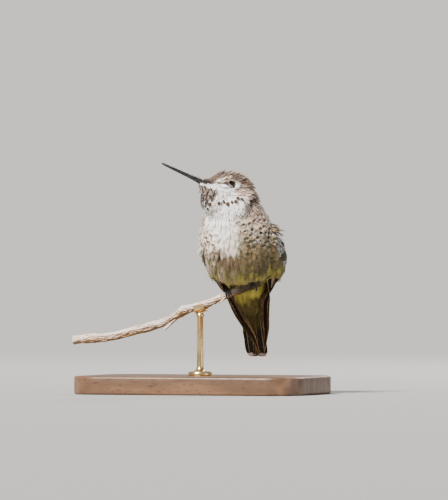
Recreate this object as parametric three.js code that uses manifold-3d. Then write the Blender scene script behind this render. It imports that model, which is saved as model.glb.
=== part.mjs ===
// A life-size perched hummingbird on a cut twig, held by a plain display stand.
// Millimetres, +Z up. The origin is the centre of the stand base's underside.
// The bird faces -Y, its left side is towards +X, and its head is turned to its right.
// Inside the bird's own group the origin is the twig's axis midway between the feet.

import * as THREE from "three";
import { mergeVertices } from "three/addons/utils/BufferGeometryUtils.js";
import Module from "manifold-3d";

const wasm = await Module();
wasm.setup();

// ---------------------------------------------------------------- driving dimensions

const fit = 0.3; // gap between pieces that touch
const mergeWithin = 1e-4;

const stand = {
  length: 92,
  depth: 54,
  height: 7,
  corner: 12,
  bevel: 0.9,
  rodRadius: 1.25,
  flangeRadius: 4.6,
  flangeHeight: 1.4,
  cradleLength: 4.2,
  cradleWall: 0.8,
  cradleBore: 1.55, // the twig's radius there
  rodAt: -17, // along the twig, from the feet
};

const perch = { aheadOfCentre: 16, height: 40 }; // the grip point over the base

const head = {
  turn: 40, // degrees to the bird's right
  lift: 21.5, // degrees the bill points up
  centre: [-1.5, -12, 37.3],
  halfWidth: 7.3,
  halfHeight: 7.2,
  occiput: -10.6,
  billBase: 12.7,
  billDrop: -0.7, // the bill's axis under the head's middle
};

const bill = { length: 18.2, depth: 1.95, width: 2.1, tipDepth: 0.62, rooted: 3, mouthGap: 0.12 };

// The eye in the head's frame, and the hollow of the lids round it, scooped from further out.
const eye = { forward: 2.8, up: 2.25, out: 4.85, radius: 1.8, lidBowl: 2.5, lidOut: 8.2 };

const trunk = { halfWidth: 14.9, halfDepth: 14.2 };

const tail = {
  pairs: 5,
  root: [0, 6.2, 1.5],
  tip: [0.5, 17, -26.1],
  rootHalfWidth: 3.2,
  tipHalfWidth: 2.4,
  featherWidth: 4.4,
  thickness: 0.55,
  layer: 0.16,
};

const wing = { shellThickness: 1.8, featherThickness: 0.6, primaries: 5, secondaries: 3 };

const foot = { spread: 4.8, toeRadius: 0.42, tarsusRadius: 0.55 };

const twigRadius = 1.35; // where the feet hold it

const colours = {
  breast: 0xd9d2c6,
  bronze: 0x6d6245,
  dusky: 0x2b2420,
  bill: 0x17130f,
  eye: 0x050505,
  foot: 0x231d1c,
  bark: 0xb49a84,
  walnut: 0x4a2f1f,
  brass: 0xa88a4d,
};

// ---------------------------------------------------------------- solids and geometry

// A closed geometry as a solid, turned outwards if it came out inside out.
function solidOf(geometry) {
  const loose = geometry.index ? geometry.toNonIndexed() : geometry;
  const bare = new THREE.BufferGeometry().setAttribute("position", loose.getAttribute("position"));
  const merged = mergeVertices(bare, mergeWithin);
  const triVerts = new Uint32Array(merged.index.array);
  const vertProperties = merged.attributes.position.array;
  const made = new wasm.Manifold(new wasm.Mesh({ numProp: 3, vertProperties, triVerts }));
  if (made.volume() > 0) return made;
  for (let i = 0; i < triVerts.length; i += 3) {
    [triVerts[i + 1], triVerts[i + 2]] = [triVerts[i + 2], triVerts[i + 1]];
  }
  return new wasm.Manifold(new wasm.Mesh({ numProp: 3, vertProperties, triVerts }));
}

function geometryOf(solid) {
  const mesh = solid.getMesh();
  const positions = new Float32Array(mesh.numVert * 3);
  for (let i = 0; i < mesh.numVert; i++) {
    positions.set(mesh.vertProperties.subarray(i * mesh.numProp, i * mesh.numProp + 3), i * 3);
  }
  const geometry = new THREE.BufferGeometry();
  geometry.setAttribute("position", new THREE.BufferAttribute(positions, 3));
  geometry.setIndex(new THREE.BufferAttribute(mesh.triVerts, 1));
  geometry.computeVertexNormals();
  return geometry;
}

// The biggest body of a solid that a cut has left in several.
function mainBody(solid) {
  const biggest = (one) => one.decompose().sort((a, b) => b.volume() - a.volume())[0];
  return biggest(solidOf(geometryOf(biggest(solid))));
}

function joined(solids) {
  return solids.reduce((all, one) => all.add(one));
}

const vector = (xyz) => new THREE.Vector3(...xyz);

function curveThrough(points) {
  return new THREE.CatmullRomCurve3(points.map(vector), false, "catmullrom", 0.5);
}

// A soft closed form: a sphere's rings are carried to stations along a spine. A station holds
// [x, y, z, half width, half depth in front, half depth behind]; `side` is across the form, and
// `grow` swells it all over.
function loft({ stations, side, around = 28, along = 20, grow = 0, roundEnds = 0.12 }) {
  const spine = curveThrough(stations.map((s) => s.slice(0, 3)));
  const sizes = curveThrough(stations.map((s) => [s[3], s[4], s[5] ?? s[4]]));
  const geometry = new THREE.SphereGeometry(1, around, along);
  const position = geometry.getAttribute("position");
  const point = new THREE.Vector3();
  const across = vector(side).normalize();
  for (let i = 0; i < position.count; i++) {
    point.fromBufferAttribute(position, i);
    const share = (1 - THREE.MathUtils.clamp(point.y, -1, 1)) / 2;
    const angle = Math.atan2(point.z, point.x);
    const size = sizes.getPoint(share);
    const direction = spine.getTangent(share);
    const behind = new THREE.Vector3().crossVectors(direction, across).normalize();
    const wide = new THREE.Vector3().crossVectors(behind, direction).normalize();
    const end = Math.min(share, 1 - share) / roundEnds;
    const closing = end >= 1 ? 1 : Math.sqrt(Math.max(0, 1 - (1 - end) ** 2));
    const depth = Math.sin(angle) < 0 ? size.y : size.z;
    const centre = spine.getPoint(share);
    centre.addScaledVector(wide, Math.cos(angle) * (size.x + grow) * closing);
    centre.addScaledVector(behind, Math.sin(angle) * (depth + grow) * closing);
    centre.addScaledVector(direction, grow * Math.cos(Math.PI * share) * -1);
    position.setXYZ(i, centre.x, centre.y, centre.z);
  }
  return solidOf(geometry);
}

// A flat vane: a box bent so that each point lies at place(along, across, layer).
function vane({ place, steps, rows = 2 }) {
  const geometry = new THREE.BoxGeometry(1, 1, 1, steps, rows, 1);
  const position = geometry.getAttribute("position");
  for (let i = 0; i < position.count; i++) {
    const at = place(position.getX(i) + 0.5, position.getY(i) * 2, position.getZ(i) * 2);
    position.setXYZ(i, at.x, at.y, at.z);
  }
  return solidOf(geometry);
}

// Everything on the far side of a plane, as a big block.
function beyond(point, normal) {
  const size = 200;
  const geometry = new THREE.BoxGeometry(size, size, size).translate(0, 0, size / 2);
  const upward = new THREE.Vector3(0, 0, 1);
  const turn = new THREE.Quaternion().setFromUnitVectors(upward, vector(normal).normalize());
  geometry.applyQuaternion(turn).translate(...point);
  return solidOf(geometry);
}

function ball(centre, radius) {
  return solidOf(new THREE.SphereGeometry(radius, 14, 9).translate(...centre));
}

// ---------------------------------------------------------------- the head's own frame

const turnRad = THREE.MathUtils.degToRad(head.turn);
const liftRad = THREE.MathUtils.degToRad(head.lift);
const headForward = new THREE.Vector3(
  -Math.sin(turnRad) * Math.cos(liftRad),
  -Math.cos(turnRad) * Math.cos(liftRad),
  Math.sin(liftRad),
);
const headLeft = new THREE.Vector3(Math.cos(turnRad), -Math.sin(turnRad), 0);
const headUp = new THREE.Vector3().crossVectors(headForward, headLeft);

function inHead(forward, left, up) {
  return vector(head.centre)
    .addScaledVector(headForward, forward)
    .addScaledVector(headLeft, left)
    .addScaledVector(headUp, up)
    .toArray();
}

// ---------------------------------------------------------------- trunk, neck, head, rump

// Rows run from the vent up to the nape: out to the left, forward, up, then shares of the trunk's
// half width, and of its half depth in front and behind.
const trunkRows = [
  [0, -0.8, 1.5, 0.4, 0.4, 0.4],
  [0, -0.5, 4.6, 0.76, 0.74, 0.74],
  [0, 0.4, 9, 0.92, 0.91, 0.91],
  [0, 1.4, 13.2, 0.99, 0.98, 0.98],
  [-0.4, 2.7, 18.2, 1, 1, 1],
  [-0.6, 4.7, 23.4, 0.97, 0.99, 0.94],
  [-0.7, 7.1, 28.2, 0.86, 0.92, 0.82],
  [-0.8, 9.4, 32.2, 0.74, 0.82, 0.7],
  [-1, 11.2, 35.8, 0.65, 0.66, 0.6],
  [-1.2, 12.2, 39, 0.5, 0.5, 0.5],
];

function trunkForm(grow = 0) {
  const stations = trunkRows.map(([left, forward, up, wide, front, back]) => [
    left,
    -forward,
    up,
    wide * trunk.halfWidth,
    front * trunk.halfDepth,
    back * trunk.halfDepth,
  ]);
  return loft({ stations, side: [1, 0, 0], around: 22, along: 14, grow, roundEnds: 0.1 });
}

// Rows run from the back of the head to the bill: forward, up, shares of the half width and height.
const headRows = [
  [head.occiput, -0.6, 0.34, 0.36],
  [-7.6, 0.1, 0.78, 0.84],
  [-3.8, 0.4, 0.98, 1.03],
  [0.4, 0.1, 1, 1.01],
  [4.2, -0.5, 0.9, 0.89],
  [7.4, -1.3, 0.66, 0.62],
  [9.8, -1.3, 0.43, 0.42],
  [11.6, -1.1, 0.29, 0.28],
  [13.2, head.billDrop, 0.19, 0.17],
];

function headForm(grow = 0) {
  const skullStations = headRows.map(([forward, up, wide, tall]) => [
    ...inHead(forward, 0, up),
    wide * head.halfWidth,
    tall * head.halfHeight,
  ]);
  // The throat and cheeks fall from under the bill to the breast.
  const throatStations = [
    [...inHead(9.4, 0, -2.4), 2.7, 2.2],
    [...inHead(6.4, 0, -4.4), 4.9, 4.5],
    [...inHead(3, 0.4, -6.4), 5.9, 5.6],
    [...inHead(0.5, 0.8, -9), 5.6, 5],
  ];
  const side = headLeft.toArray();
  const skull = loft({ stations: skullStations, side, grow, around: 20, along: 13, roundEnds: 0.08 });
  const throat = loft({ stations: throatStations, side, grow, around: 16, along: 7, roundEnds: 0.3 });
  return skull.add(throat);
}

// The rump tapers down the tail's line, with the coverts above and below the tail feathers.
const rumpRows = [
  [-2.8, 8.5, 6.5, 5],
  [-4.4, 4.5, 8, 5.6],
  [-6.2, 0.4, 7.2, 4.5],
  [-8, -4, 5.9, 3.2],
  [-9.5, -7.5, 4.6, 2.1],
  [-10.8, -10.6, 3.2, 1.4],
];

function rumpForm(grow = 0) {
  const stations = rumpRows.map(([forward, up, wide, deep]) => [0, -forward, up, wide, deep]);
  return loft({ stations, side: [1, 0, 0], around: 16, along: 8, grow, roundEnds: 0.16 });
}

const neckBase = { point: [0, -7.9, 29.8], normal: [0, -0.42, 0.91] };
const neckTop = { point: [-0.8, -10.5, 33.4], normal: [0.08, -0.1, 0.99] };

function raised({ point, normal }, by) {
  return vector(point).addScaledVector(vector(normal).normalize(), by).toArray();
}

// ---------------------------------------------------------------- twig

// The twig's axis: along X from the cut end near the bird's left foot to the far cut end.
const twigRows = [
  [7.6, 2.55, 1.2],
  [4.3, 1.44, 1.25],
  [-0.5, -0.16, 1.35],
  [-5.9, -1.96, twigRadius],
  [-14.3, -5.5, 1.5],
  [-20.6, -7.2, 1.5],
  [-23.5, -8, 1.95],
  [-26.6, -10, 1.55],
  [-31, -12.2, 1.55],
  [-36.5, -14, 1.7],
  [-43, -15.6, 1.65],
  [-49.6, -17.4, 1.6],
  [-56.5, -18.6, 1.6],
  [-61, -18.9, 1.9],
  [-66, -19.3, 1.6],
  [-69.3, -19.7, 1.6],
];
const twigAxis = curveThrough(twigRows.map(([x, z]) => [x, 0, z]));

function twigForm(grow = 0) {
  const stations = twigRows.map(([x, z, radius]) => [x, 0, z, radius, radius]);
  return loft({ stations, side: [0, 1, 0], around: 10, along: 30, grow, roundEnds: 0.012 });
}

function twigStub() {
  const stations = [
    [-23.8, 0, -8.8, 0.75, 0.75],
    [-26.4, -0.3, -11, 0.62, 0.62],
    [-29, -0.6, -13.3, 0.55, 0.55],
    [-31.5, -0.8, -15.5, 0.55, 0.55],
  ];
  return loft({ stations, side: [0, 1, 0], around: 6, along: 6, roundEnds: 0.05 });
}

// The point of the twig's axis at a given x.
function onTwig(x) {
  let low = 0;
  let high = 1;
  for (let i = 0; i < 40; i++) {
    const middle = (low + high) / 2;
    if (twigAxis.getPoint(middle).x > x) low = middle;
    else high = middle;
  }
  return { at: twigAxis.getPoint(low), direction: twigAxis.getTangent(low).negate() };
}

// ---------------------------------------------------------------- legs and feet

// A tapering round tube through points, each [x, y, z, radius].
function tube(points, around = 7, along = 10, grow = 0) {
  const stations = points.map(([x, y, z, radius]) => [x, y, z, radius, radius]);
  return loft({ stations, side: [1, 0, 0.013], around, along, grow, roundEnds: 0.06 });
}

// One toe wraps the twig from angle `from` to angle `to`, 90 degrees being the top and 0 the front.
function toe({ at, from, to, splay, grow }) {
  const { at: centre, direction } = onTwig(at);
  const upward = new THREE.Vector3().crossVectors(direction, new THREE.Vector3(0, -1, 0)).negate();
  const reach = twigRadius + fit + foot.toeRadius;
  const steps = 6;
  const points = [];
  for (let i = 0; i <= steps; i++) {
    const share = i / steps;
    const angle = THREE.MathUtils.degToRad(THREE.MathUtils.lerp(from, to, share));
    const lastStep = Math.max(0, share - 0.72) / 0.28; // the claw thins and leaves the bark
    const out = reach + 0.25 * Math.sin(Math.PI * share) + 0.25 * lastStep;
    const point = centre
      .clone()
      .addScaledVector(direction, splay * share)
      .addScaledVector(upward, Math.sin(angle) * out);
    point.y -= Math.cos(angle) * out;
    const radius = foot.toeRadius * (1 - 0.62 * lastStep);
    points.push([point.x, point.y, point.z, radius]);
  }
  return tube(points, 5, 7, grow);
}

function footForm(at, grow = 0) {
  const toes = [-1.4, 0, 1.4].map((splay) => toe({ at, from: 112, to: -58, splay, grow }));
  toes.push(toe({ at, from: 108, to: 268, splay: 0, grow }));
  return joined(toes);
}

// The feathered thigh and the bare tarsus come down behind the twig to the toes.
function legForm(at, grow = 0) {
  const { at: centre } = onTwig(at);
  const side = Math.sign(at);
  const hip = [centre.x + side * 0.8, centre.y - 1, centre.z + 5.2];
  const thigh = loft({
    stations: [
      [hip[0], hip[1], hip[2], 2.2, 2.2],
      [centre.x + side * 0.3, centre.y + 0.2, centre.z + 3.9, 1.6, 1.6],
      [centre.x, centre.y + 0.9, centre.z + 3.1, 0.9, 0.9],
    ],
    side: [1, 0, 0],
    around: 10,
    along: 5,
    grow,
    roundEnds: 0.3,
  });
  const tarsus = tube(
    [
      [centre.x + side * 0.2, centre.y + 1.1, centre.z + 4.4, foot.tarsusRadius],
      [centre.x, centre.y + 0.8, centre.z + 2.65, foot.tarsusRadius],
    ],
    6,
    4,
    grow,
  );
  return thigh.add(tarsus);
}

// ---------------------------------------------------------------- tail

// A tail feather of one side: number 0 is the central one on top, the last the outer one below.
function tailFeather(number, side) {
  const share = number / (tail.pairs - 1);
  const root = vector(tail.root);
  const tip = vector(tail.tip);
  const line = new THREE.Vector3().subVectors(tip, root);
  const below = new THREE.Vector3(0, line.z, -line.y).normalize();
  const shorter = 0.02 * (1 - share) + 0.025 * share * share;
  const place = (along, across, layer) => {
    const reach = along * (1 - shorter);
    const sideways = THREE.MathUtils.lerp(tail.rootHalfWidth * share, tail.tipHalfWidth * share + 0.7, reach);
    const roundTip = Math.sqrt(Math.max(0.02, 1 - Math.max(0, (along - 0.86) / 0.14) ** 2.4));
    const widening = 0.42 + 0.58 * Math.sin(Math.min(1, reach * 1.25) * (Math.PI / 2));
    const width = tail.featherWidth * widening * roundTip;
    const at = root.clone().addScaledVector(line, reach);
    at.x += side * (sideways + (across * width) / 2);
    const depth = (share - 0.5) * (tail.pairs - 1) * tail.layer + (layer * tail.thickness) / 2;
    return at.addScaledVector(below, depth);
  };
  return vane({ place, steps: 7, rows: 1 });
}

function tailForm() {
  const feathers = [];
  for (let number = 0; number < tail.pairs; number++) {
    feathers.push(tailFeather(number, 1), tailFeather(number, -1));
  }
  return joined(feathers);
}

// Room for the tail with its fit gap: the closed fan a little swollen.
function tailRoom() {
  const stations = [
    [tail.root[0], tail.root[1], tail.root[2], 4.2, 1.1],
    [0, 10.3, -9, 5.4, 1.1],
    [0, 13, -16, 6, 1.1],
    [0, 15, -21, 5.7, 1.1],
    [0, tail.tip[1] + 0.4, tail.tip[2] - 1, 4.6, 1.1],
  ];
  return loft({ stations, side: [1, 0, 0], around: 12, along: 6, roundEnds: 0.06 });
}

// ---------------------------------------------------------------- wings

// Front (leading) and back edges of the folded left wing: out from the middle, forward, up. Beside
// the body the wing faces outwards; below it the leading edge stays outside and the feathers turn
// in, under the tail.
const leftEdges = {
  front: [
    [11, 8.6, 25.4],
    [12.6, 6.4, 17],
    [11.8, 2.6, 9],
    [10.6, -2.4, 2.6],
    [9.2, -6, -3.6],
    [8.1, -9.2, -10],
    [7.2, -11.6, -16],
    [4.2, -15, -24],
  ],
  back: [
    [9, -2.6, 28.2],
    [13.2, -6.8, 19],
    [13.2, -9.2, 10],
    [9.8, -6.8, 3],
    [5.2, -5, -4],
    [3.8, -9.2, -10],
    [3.6, -11.9, -16],
    [3.4, -15.2, -23.8],
  ],
};

// The right wing mirrors it down to the rump, then crosses the middle under the tail.
const rightEdges = {
  front: [
    ...leftEdges.front.slice(0, 4),
    [8.2, -6, -3.6],
    [6.6, -9.2, -10],
    [3.7, -11.6, -16],
    [-1.7, -15, -24.4],
  ],
  back: [
    ...leftEdges.back.slice(0, 4),
    [4.6, -7.4, -4],
    [0.8, -9.6, -10],
    [-2.2, -12, -16],
    [-2.6, -15.3, -24.2],
  ],
};

// The sheet of a folded wing: along runs from the shoulder to the tip, across from front to back.
function wingSheet(edges, side) {
  const toPoint = ([out, forward, up]) => [side * out, -forward, up];
  const front = curveThrough(edges.front.map(toPoint));
  const back = curveThrough(edges.back.map(toPoint));
  const surface = (along, across) => {
    const point = front.getPoint(along).lerp(back.getPoint(along), across);
    const overBody = Math.sin(Math.PI * THREE.MathUtils.clamp((along + 0.1) / 0.7, 0, 1));
    point.x += side * 2.9 * overBody * Math.sin(Math.PI * THREE.MathUtils.clamp(across, 0, 1));
    return point;
  };
  const step = 0.004;
  return (along, across, lift) => {
    const a = THREE.MathUtils.clamp(along, step, 1 - step);
    const down = surface(a + step, across).sub(surface(a - step, across));
    const over = surface(a, across + step).sub(surface(a, across - step));
    const outward = down.cross(over).normalize();
    if (side > 0) outward.negate();
    return surface(along, across).addScaledVector(outward, lift);
  };
}

// The arm with its coverts: a lens-shaped shell over the flank.
function wingShell(sheet, grow = 0) {
  const length = 0.4;
  const wider = 1 + 0.15 * grow;
  const place = (along, across, layer) => {
    const v = 0.5 + across * 0.5 * wider;
    const u = 0.01 + along * length * wider * (1 - 0.12 * Math.cos(v * Math.PI));
    const edges = Math.sqrt(Math.max(0.06, 1 - across ** 4));
    const ends = Math.sqrt(Math.max(0.1, 1 - (2 * along - 1) ** 6));
    return sheet(u, v, layer * (edges * ends * wing.shellThickness * 0.5 + grow));
  };
  return vane({ place, steps: 6, rows: 5 });
}

// One long feather that follows the sheet from `from` to `to`, `at` across it.
function flightFeather({ sheet, from, to, at, share, lift }) {
  const place = (along, across, layer) => {
    const u = THREE.MathUtils.lerp(from, to, along);
    const narrowing = Math.sqrt(Math.max(0.03, 1 - along ** 7));
    const v = THREE.MathUtils.lerp(at, 0.5, along * 0.25) + across * 0.5 * share * narrowing;
    return sheet(u, v, lift + (layer * wing.featherThickness) / 2);
  };
  return vane({ place, steps: 5, rows: 1 });
}

function primariesForm(sheet) {
  const feathers = [];
  for (let i = 0; i < wing.primaries; i++) {
    const share = i / (wing.primaries - 1);
    feathers.push(
      flightFeather({
        sheet,
        from: 0.36,
        to: 1 - 0.24 * share ** 1.3,
        at: 0.2 + 0.6 * share,
        share: 0.42,
        lift: share * 0.4,
      }),
    );
  }
  return joined(feathers);
}

function secondariesForm(sheet) {
  const feathers = [];
  for (let i = 0; i < wing.secondaries; i++) {
    const share = i / (wing.secondaries - 1);
    feathers.push(
      flightFeather({
        sheet,
        from: 0.34,
        to: 0.6 - 0.07 * share,
        at: 0.48 + 0.36 * share,
        share: 0.4,
        lift: 0.75 + share * 0.2,
      }),
    );
  }
  return joined(feathers);
}

// ---------------------------------------------------------------- bill

// Upper or lower half of the bill: a slim cone from under the face feathers to the tip.
function billHalf(upper) {
  const rows = [
    [-bill.rooted, 1.05],
    [0, 1],
    [3, 0.76],
    [7, 0.62],
    [12, 0.52],
    [16, 0.42],
    [bill.length, 0.2],
  ];
  const stations = rows.map(([forward, size]) => [
    ...inHead(head.billBase + forward, 0, head.billDrop),
    (size * bill.width) / 2,
    Math.max(size * bill.depth, bill.tipDepth) / 2,
  ]);
  const whole = loft({ stations, side: headLeft.toArray(), around: 10, along: 9, roundEnds: 0.03 });
  const middle = inHead(head.billBase, 0, head.billDrop - 0.08);
  const sign = upper ? 1 : -1;
  const offset = headUp.clone().multiplyScalar((sign * bill.mouthGap) / 2);
  const edge = vector(middle).add(offset).toArray();
  return whole.intersect(beyond(edge, headUp.clone().multiplyScalar(sign).toArray()));
}

// ---------------------------------------------------------------- stand

function roundedSlab() {
  const { length, depth, corner, bevel, height } = stand;
  const x = length / 2 - bevel;
  const y = depth / 2 - bevel;
  const r = corner - bevel;
  const outline = new THREE.Shape();
  outline.moveTo(-x + r, -y);
  outline.lineTo(x - r, -y);
  outline.absarc(x - r, -y + r, r, -Math.PI / 2, 0);
  outline.lineTo(x, y - r);
  outline.absarc(x - r, y - r, r, 0, Math.PI / 2);
  outline.lineTo(-x + r, y);
  outline.absarc(-x + r, y - r, r, Math.PI / 2, Math.PI);
  outline.lineTo(-x, -y + r);
  outline.absarc(-x + r, -y + r, r, Math.PI, 1.5 * Math.PI);
  const geometry = new THREE.ExtrudeGeometry(outline, {
    depth: height - 2 * bevel,
    bevelEnabled: true,
    bevelThickness: bevel,
    bevelSize: bevel,
    bevelSegments: 2,
    curveSegments: 4,
  });
  return solidOf(geometry.translate(0, 0, bevel));
}

// A brass rod with a foot flange, and on top a half-round cradle that carries the twig.
function rodForm() {
  const { at, direction } = onTwig(stand.rodAt);
  const inner = stand.cradleBore + fit;
  const outer = inner + stand.cradleWall;
  const cradle = new THREE.Shape();
  const open = THREE.MathUtils.degToRad(12);
  cradle.absarc(0, 0, outer, Math.PI - open, 2 * Math.PI + open, false);
  cradle.absarc(0, 0, inner, 2 * Math.PI + open, Math.PI - open, true);
  cradle.closePath();
  const geometry = new THREE.ExtrudeGeometry(cradle, {
    depth: stand.cradleLength,
    bevelEnabled: false,
    curveSegments: 9,
  });
  geometry.translate(0, 0, -stand.cradleLength / 2);
  const across = new THREE.Vector3(0, 1, 0);
  const upward = new THREE.Vector3().crossVectors(direction, across);
  geometry.applyMatrix4(new THREE.Matrix4().makeBasis(across, upward, direction));
  geometry.translate(at.x, at.y, at.z);
  const clip = solidOf(geometry);
  const foot = stand.height + 0.1 - perch.height;
  const top = at.z - inner - stand.cradleWall / 2;
  const profile = [
    [0, foot],
    [stand.flangeRadius, foot],
    [stand.flangeRadius, foot + stand.flangeHeight * 0.6],
    [stand.flangeRadius - 0.5, foot + stand.flangeHeight],
    [stand.rodRadius + 0.8, foot + stand.flangeHeight + 0.5],
    [stand.rodRadius, foot + stand.flangeHeight + 2],
    [stand.rodRadius, top],
    [0, top],
  ].map(([x, y]) => new THREE.Vector2(x, y));
  const rod = solidOf(new THREE.LatheGeometry(profile, 16).rotateX(Math.PI / 2).translate(at.x, 0, 0));
  const roomForTwig = twigForm(fit * 0.8);
  return clip.add(rod).subtract(roomForTwig);
}

// ---------------------------------------------------------------- putting it together

function material(color, roughness, metalness = 0) {
  return new THREE.MeshStandardMaterial({ color, roughness, metalness });
}

const birdGroup = new THREE.Group();
birdGroup.position.set(perch.aheadOfCentre, 0, perch.height);
const standGroup = new THREE.Group();

function addTo(group, name, solid, finish) {
  const mesh = new THREE.Mesh(geometryOf(solid), finish);
  mesh.name = name;
  group.add(mesh);
}

const twigRoom = twigForm(fit + 0.3);
const twig = twigForm().add(twigStub());
const body = trunkForm().add(headForm());
const trunkRoom = trunkForm(fit);
const rumpRoom = rumpForm(fit);
const headRoom = headForm(fit);

const belowNeck = beyond(raised(neckBase, -fit / 2), vector(neckBase.normal).negate().toArray());
const aboveNeckBase = beyond(raised(neckBase, fit / 2), neckBase.normal);
const belowHead = beyond(raised(neckTop, -fit / 2), vector(neckTop.normal).negate().toArray());
const aboveNeckTop = beyond(raised(neckTop, fit / 2), neckTop.normal);

const feathered = material(colours.breast, 0.85);
const bronze = material(colours.bronze, 0.6);
const dusky = material(colours.dusky, 0.55);
const hornBlack = material(colours.bill, 0.35);
const wetBlack = material(colours.eye, 0.08);
const footSkin = material(colours.foot, 0.5);

// Room for the twig, the legs and the feet in the belly and rump feathers.
const bothFeet = [foot.spread, -foot.spread];
const underRoom = joined([twigRoom, ...bothFeet.map((at) => legForm(at, fit).add(footForm(at, fit)))]);

addTo(birdGroup, "trunk", mainBody(body.intersect(belowNeck).subtract(underRoom)), feathered);
addTo(birdGroup, "neck", mainBody(body.intersect(aboveNeckBase).intersect(belowHead)), feathered);

const eyes = { left: inHead(eye.forward, eye.out, eye.up), right: inHead(eye.forward, -eye.out, eye.up) };
const lids = [1, -1].map((side) => ball(inHead(eye.forward, side * eye.lidOut, eye.up), eye.lidBowl));
const sockets = [eyes.left, eyes.right].map((centre) => ball(centre, eye.radius + fit));
const headSolid = body.intersect(aboveNeckTop).subtract(joined([...lids, ...sockets]));
addTo(birdGroup, "head", mainBody(headSolid), bronze);
for (const side of ["left", "right"]) {
  addTo(birdGroup, "eye_" + side, ball(eyes[side], eye.radius), wetBlack);
}
addTo(birdGroup, "bill_upper", mainBody(billHalf(true).subtract(headRoom)), hornBlack);
addTo(birdGroup, "bill_lower", mainBody(billHalf(false).subtract(headRoom)), hornBlack);

const tailSolid = mainBody(tailForm().subtract(rumpRoom).subtract(trunkRoom));
addTo(birdGroup, "rump", mainBody(rumpForm().subtract(trunkRoom).subtract(underRoom)), feathered);
addTo(birdGroup, "tail", tailSolid, dusky);

const bodyRoom = joined([trunkRoom, rumpRoom, tailRoom()]);
for (const [side, sign, edges] of [["left", 1, leftEdges], ["right", -1, rightEdges]]) {
  const sheet = wingSheet(edges, sign);
  const shell = mainBody(wingShell(sheet).subtract(bodyRoom));
  const shellRoom = wingShell(sheet, fit);
  const flight = primariesForm(sheet).add(secondariesForm(sheet));
  const freeFlight = mainBody(flight.subtract(bodyRoom).subtract(shellRoom));
  addTo(birdGroup, "wing_" + side, shell, bronze);
  addTo(birdGroup, "wing_" + side + "_feathers", freeFlight, dusky);
}

for (const [side, sign] of [["left", 1], ["right", -1]]) {
  const at = sign * foot.spread;
  const leg = mainBody(legForm(at).subtract(footForm(at, fit)).subtract(twigRoom));
  addTo(birdGroup, "foot_" + side, footForm(at), footSkin);
  addTo(birdGroup, "leg_" + side, leg, feathered);
}

addTo(birdGroup, "perch_twig", twig, material(colours.bark, 0.85));
const rodGroup = new THREE.Group();
rodGroup.position.copy(birdGroup.position);
addTo(rodGroup, "stand_rod", rodForm(), material(colours.brass, 0.35, 1));
addTo(standGroup, "stand_base", roundedSlab(), material(colours.walnut, 0.45));

const model = new THREE.Group();
model.add(birdGroup, rodGroup, standGroup);

export default model;
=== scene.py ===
# A perched hummingbird on a cut twig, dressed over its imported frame.
# Lengths in the settings are millimetres; places are in the bird's own frame, whose origin is the
# twig's axis midway between the feet. The bird faces -Y and its left side is towards +X.
import math
import random

import bmesh
import bpy
import numpy as np
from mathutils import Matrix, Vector, kdtree, noise
from mathutils.bvhtree import BVHTree


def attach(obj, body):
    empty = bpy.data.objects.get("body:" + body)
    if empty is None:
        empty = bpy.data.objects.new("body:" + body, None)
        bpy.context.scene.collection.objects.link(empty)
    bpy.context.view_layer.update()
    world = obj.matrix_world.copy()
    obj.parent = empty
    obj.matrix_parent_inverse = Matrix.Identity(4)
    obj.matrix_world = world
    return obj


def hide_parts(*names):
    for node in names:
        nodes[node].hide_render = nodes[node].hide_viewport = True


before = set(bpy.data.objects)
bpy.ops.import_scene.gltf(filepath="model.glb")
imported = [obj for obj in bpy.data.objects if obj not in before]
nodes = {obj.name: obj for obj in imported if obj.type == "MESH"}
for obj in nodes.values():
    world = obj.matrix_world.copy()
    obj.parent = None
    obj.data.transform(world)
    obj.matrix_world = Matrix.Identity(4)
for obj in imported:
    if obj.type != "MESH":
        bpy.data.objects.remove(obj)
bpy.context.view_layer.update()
mm = 0.001
grip = np.array([16.0, 0.0, 40.0])  # the bird's own origin, from the stand's centre on the floor
sides = {"left": 1, "right": -1}


def toScene(points):
    return (np.asarray(points, float) + grip) * mm


def toBird(points):
    return np.asarray(points, float) / mm - grip


def unit(vectors):
    vectors = np.asarray(vectors, float)
    length = np.linalg.norm(vectors, axis=-1, keepdims=True)
    return vectors / np.maximum(length, 1e-9)


def smoothstep(low, high, values):
    share = np.clip((np.asarray(values, float) - low) / (high - low), 0, 1)
    return share * share * (3 - 2 * share)


def mixed(first, second, share):
    share = np.asarray(share, float)[..., None]
    return np.asarray(first, float) * (1 - share) + np.asarray(second, float) * share


# camera: a long lens, level with the bird
view = {
    "azimuth": 20,  # degrees round to the bird's left
    "distance": 2500,
    "frameHeight": 190.8,
    "aimAcross": -6.87,
    "aimUp": 15.1,
}


def makeCamera():
    turn = math.radians(view["azimuth"])
    right = np.array([math.cos(turn), math.sin(turn), 0])
    look = np.array([-math.sin(turn), math.cos(turn), 0])
    aim = right * view["aimAcross"] + np.array([0, 0, view["aimUp"]])
    data = bpy.data.cameras.new("camera")
    data.sensor_fit = "VERTICAL"
    data.sensor_height = 24
    data.lens = data.sensor_height * view["distance"] / view["frameHeight"]
    data.clip_start = 0.05
    camera = bpy.data.objects.new("camera", data)
    bpy.context.collection.objects.link(camera)
    camera.location = toScene(aim - look * view["distance"])
    camera.rotation_euler = Vector(look).to_track_quat("-Z", "Y").to_euler()
    bpy.context.scene.camera = camera


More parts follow.
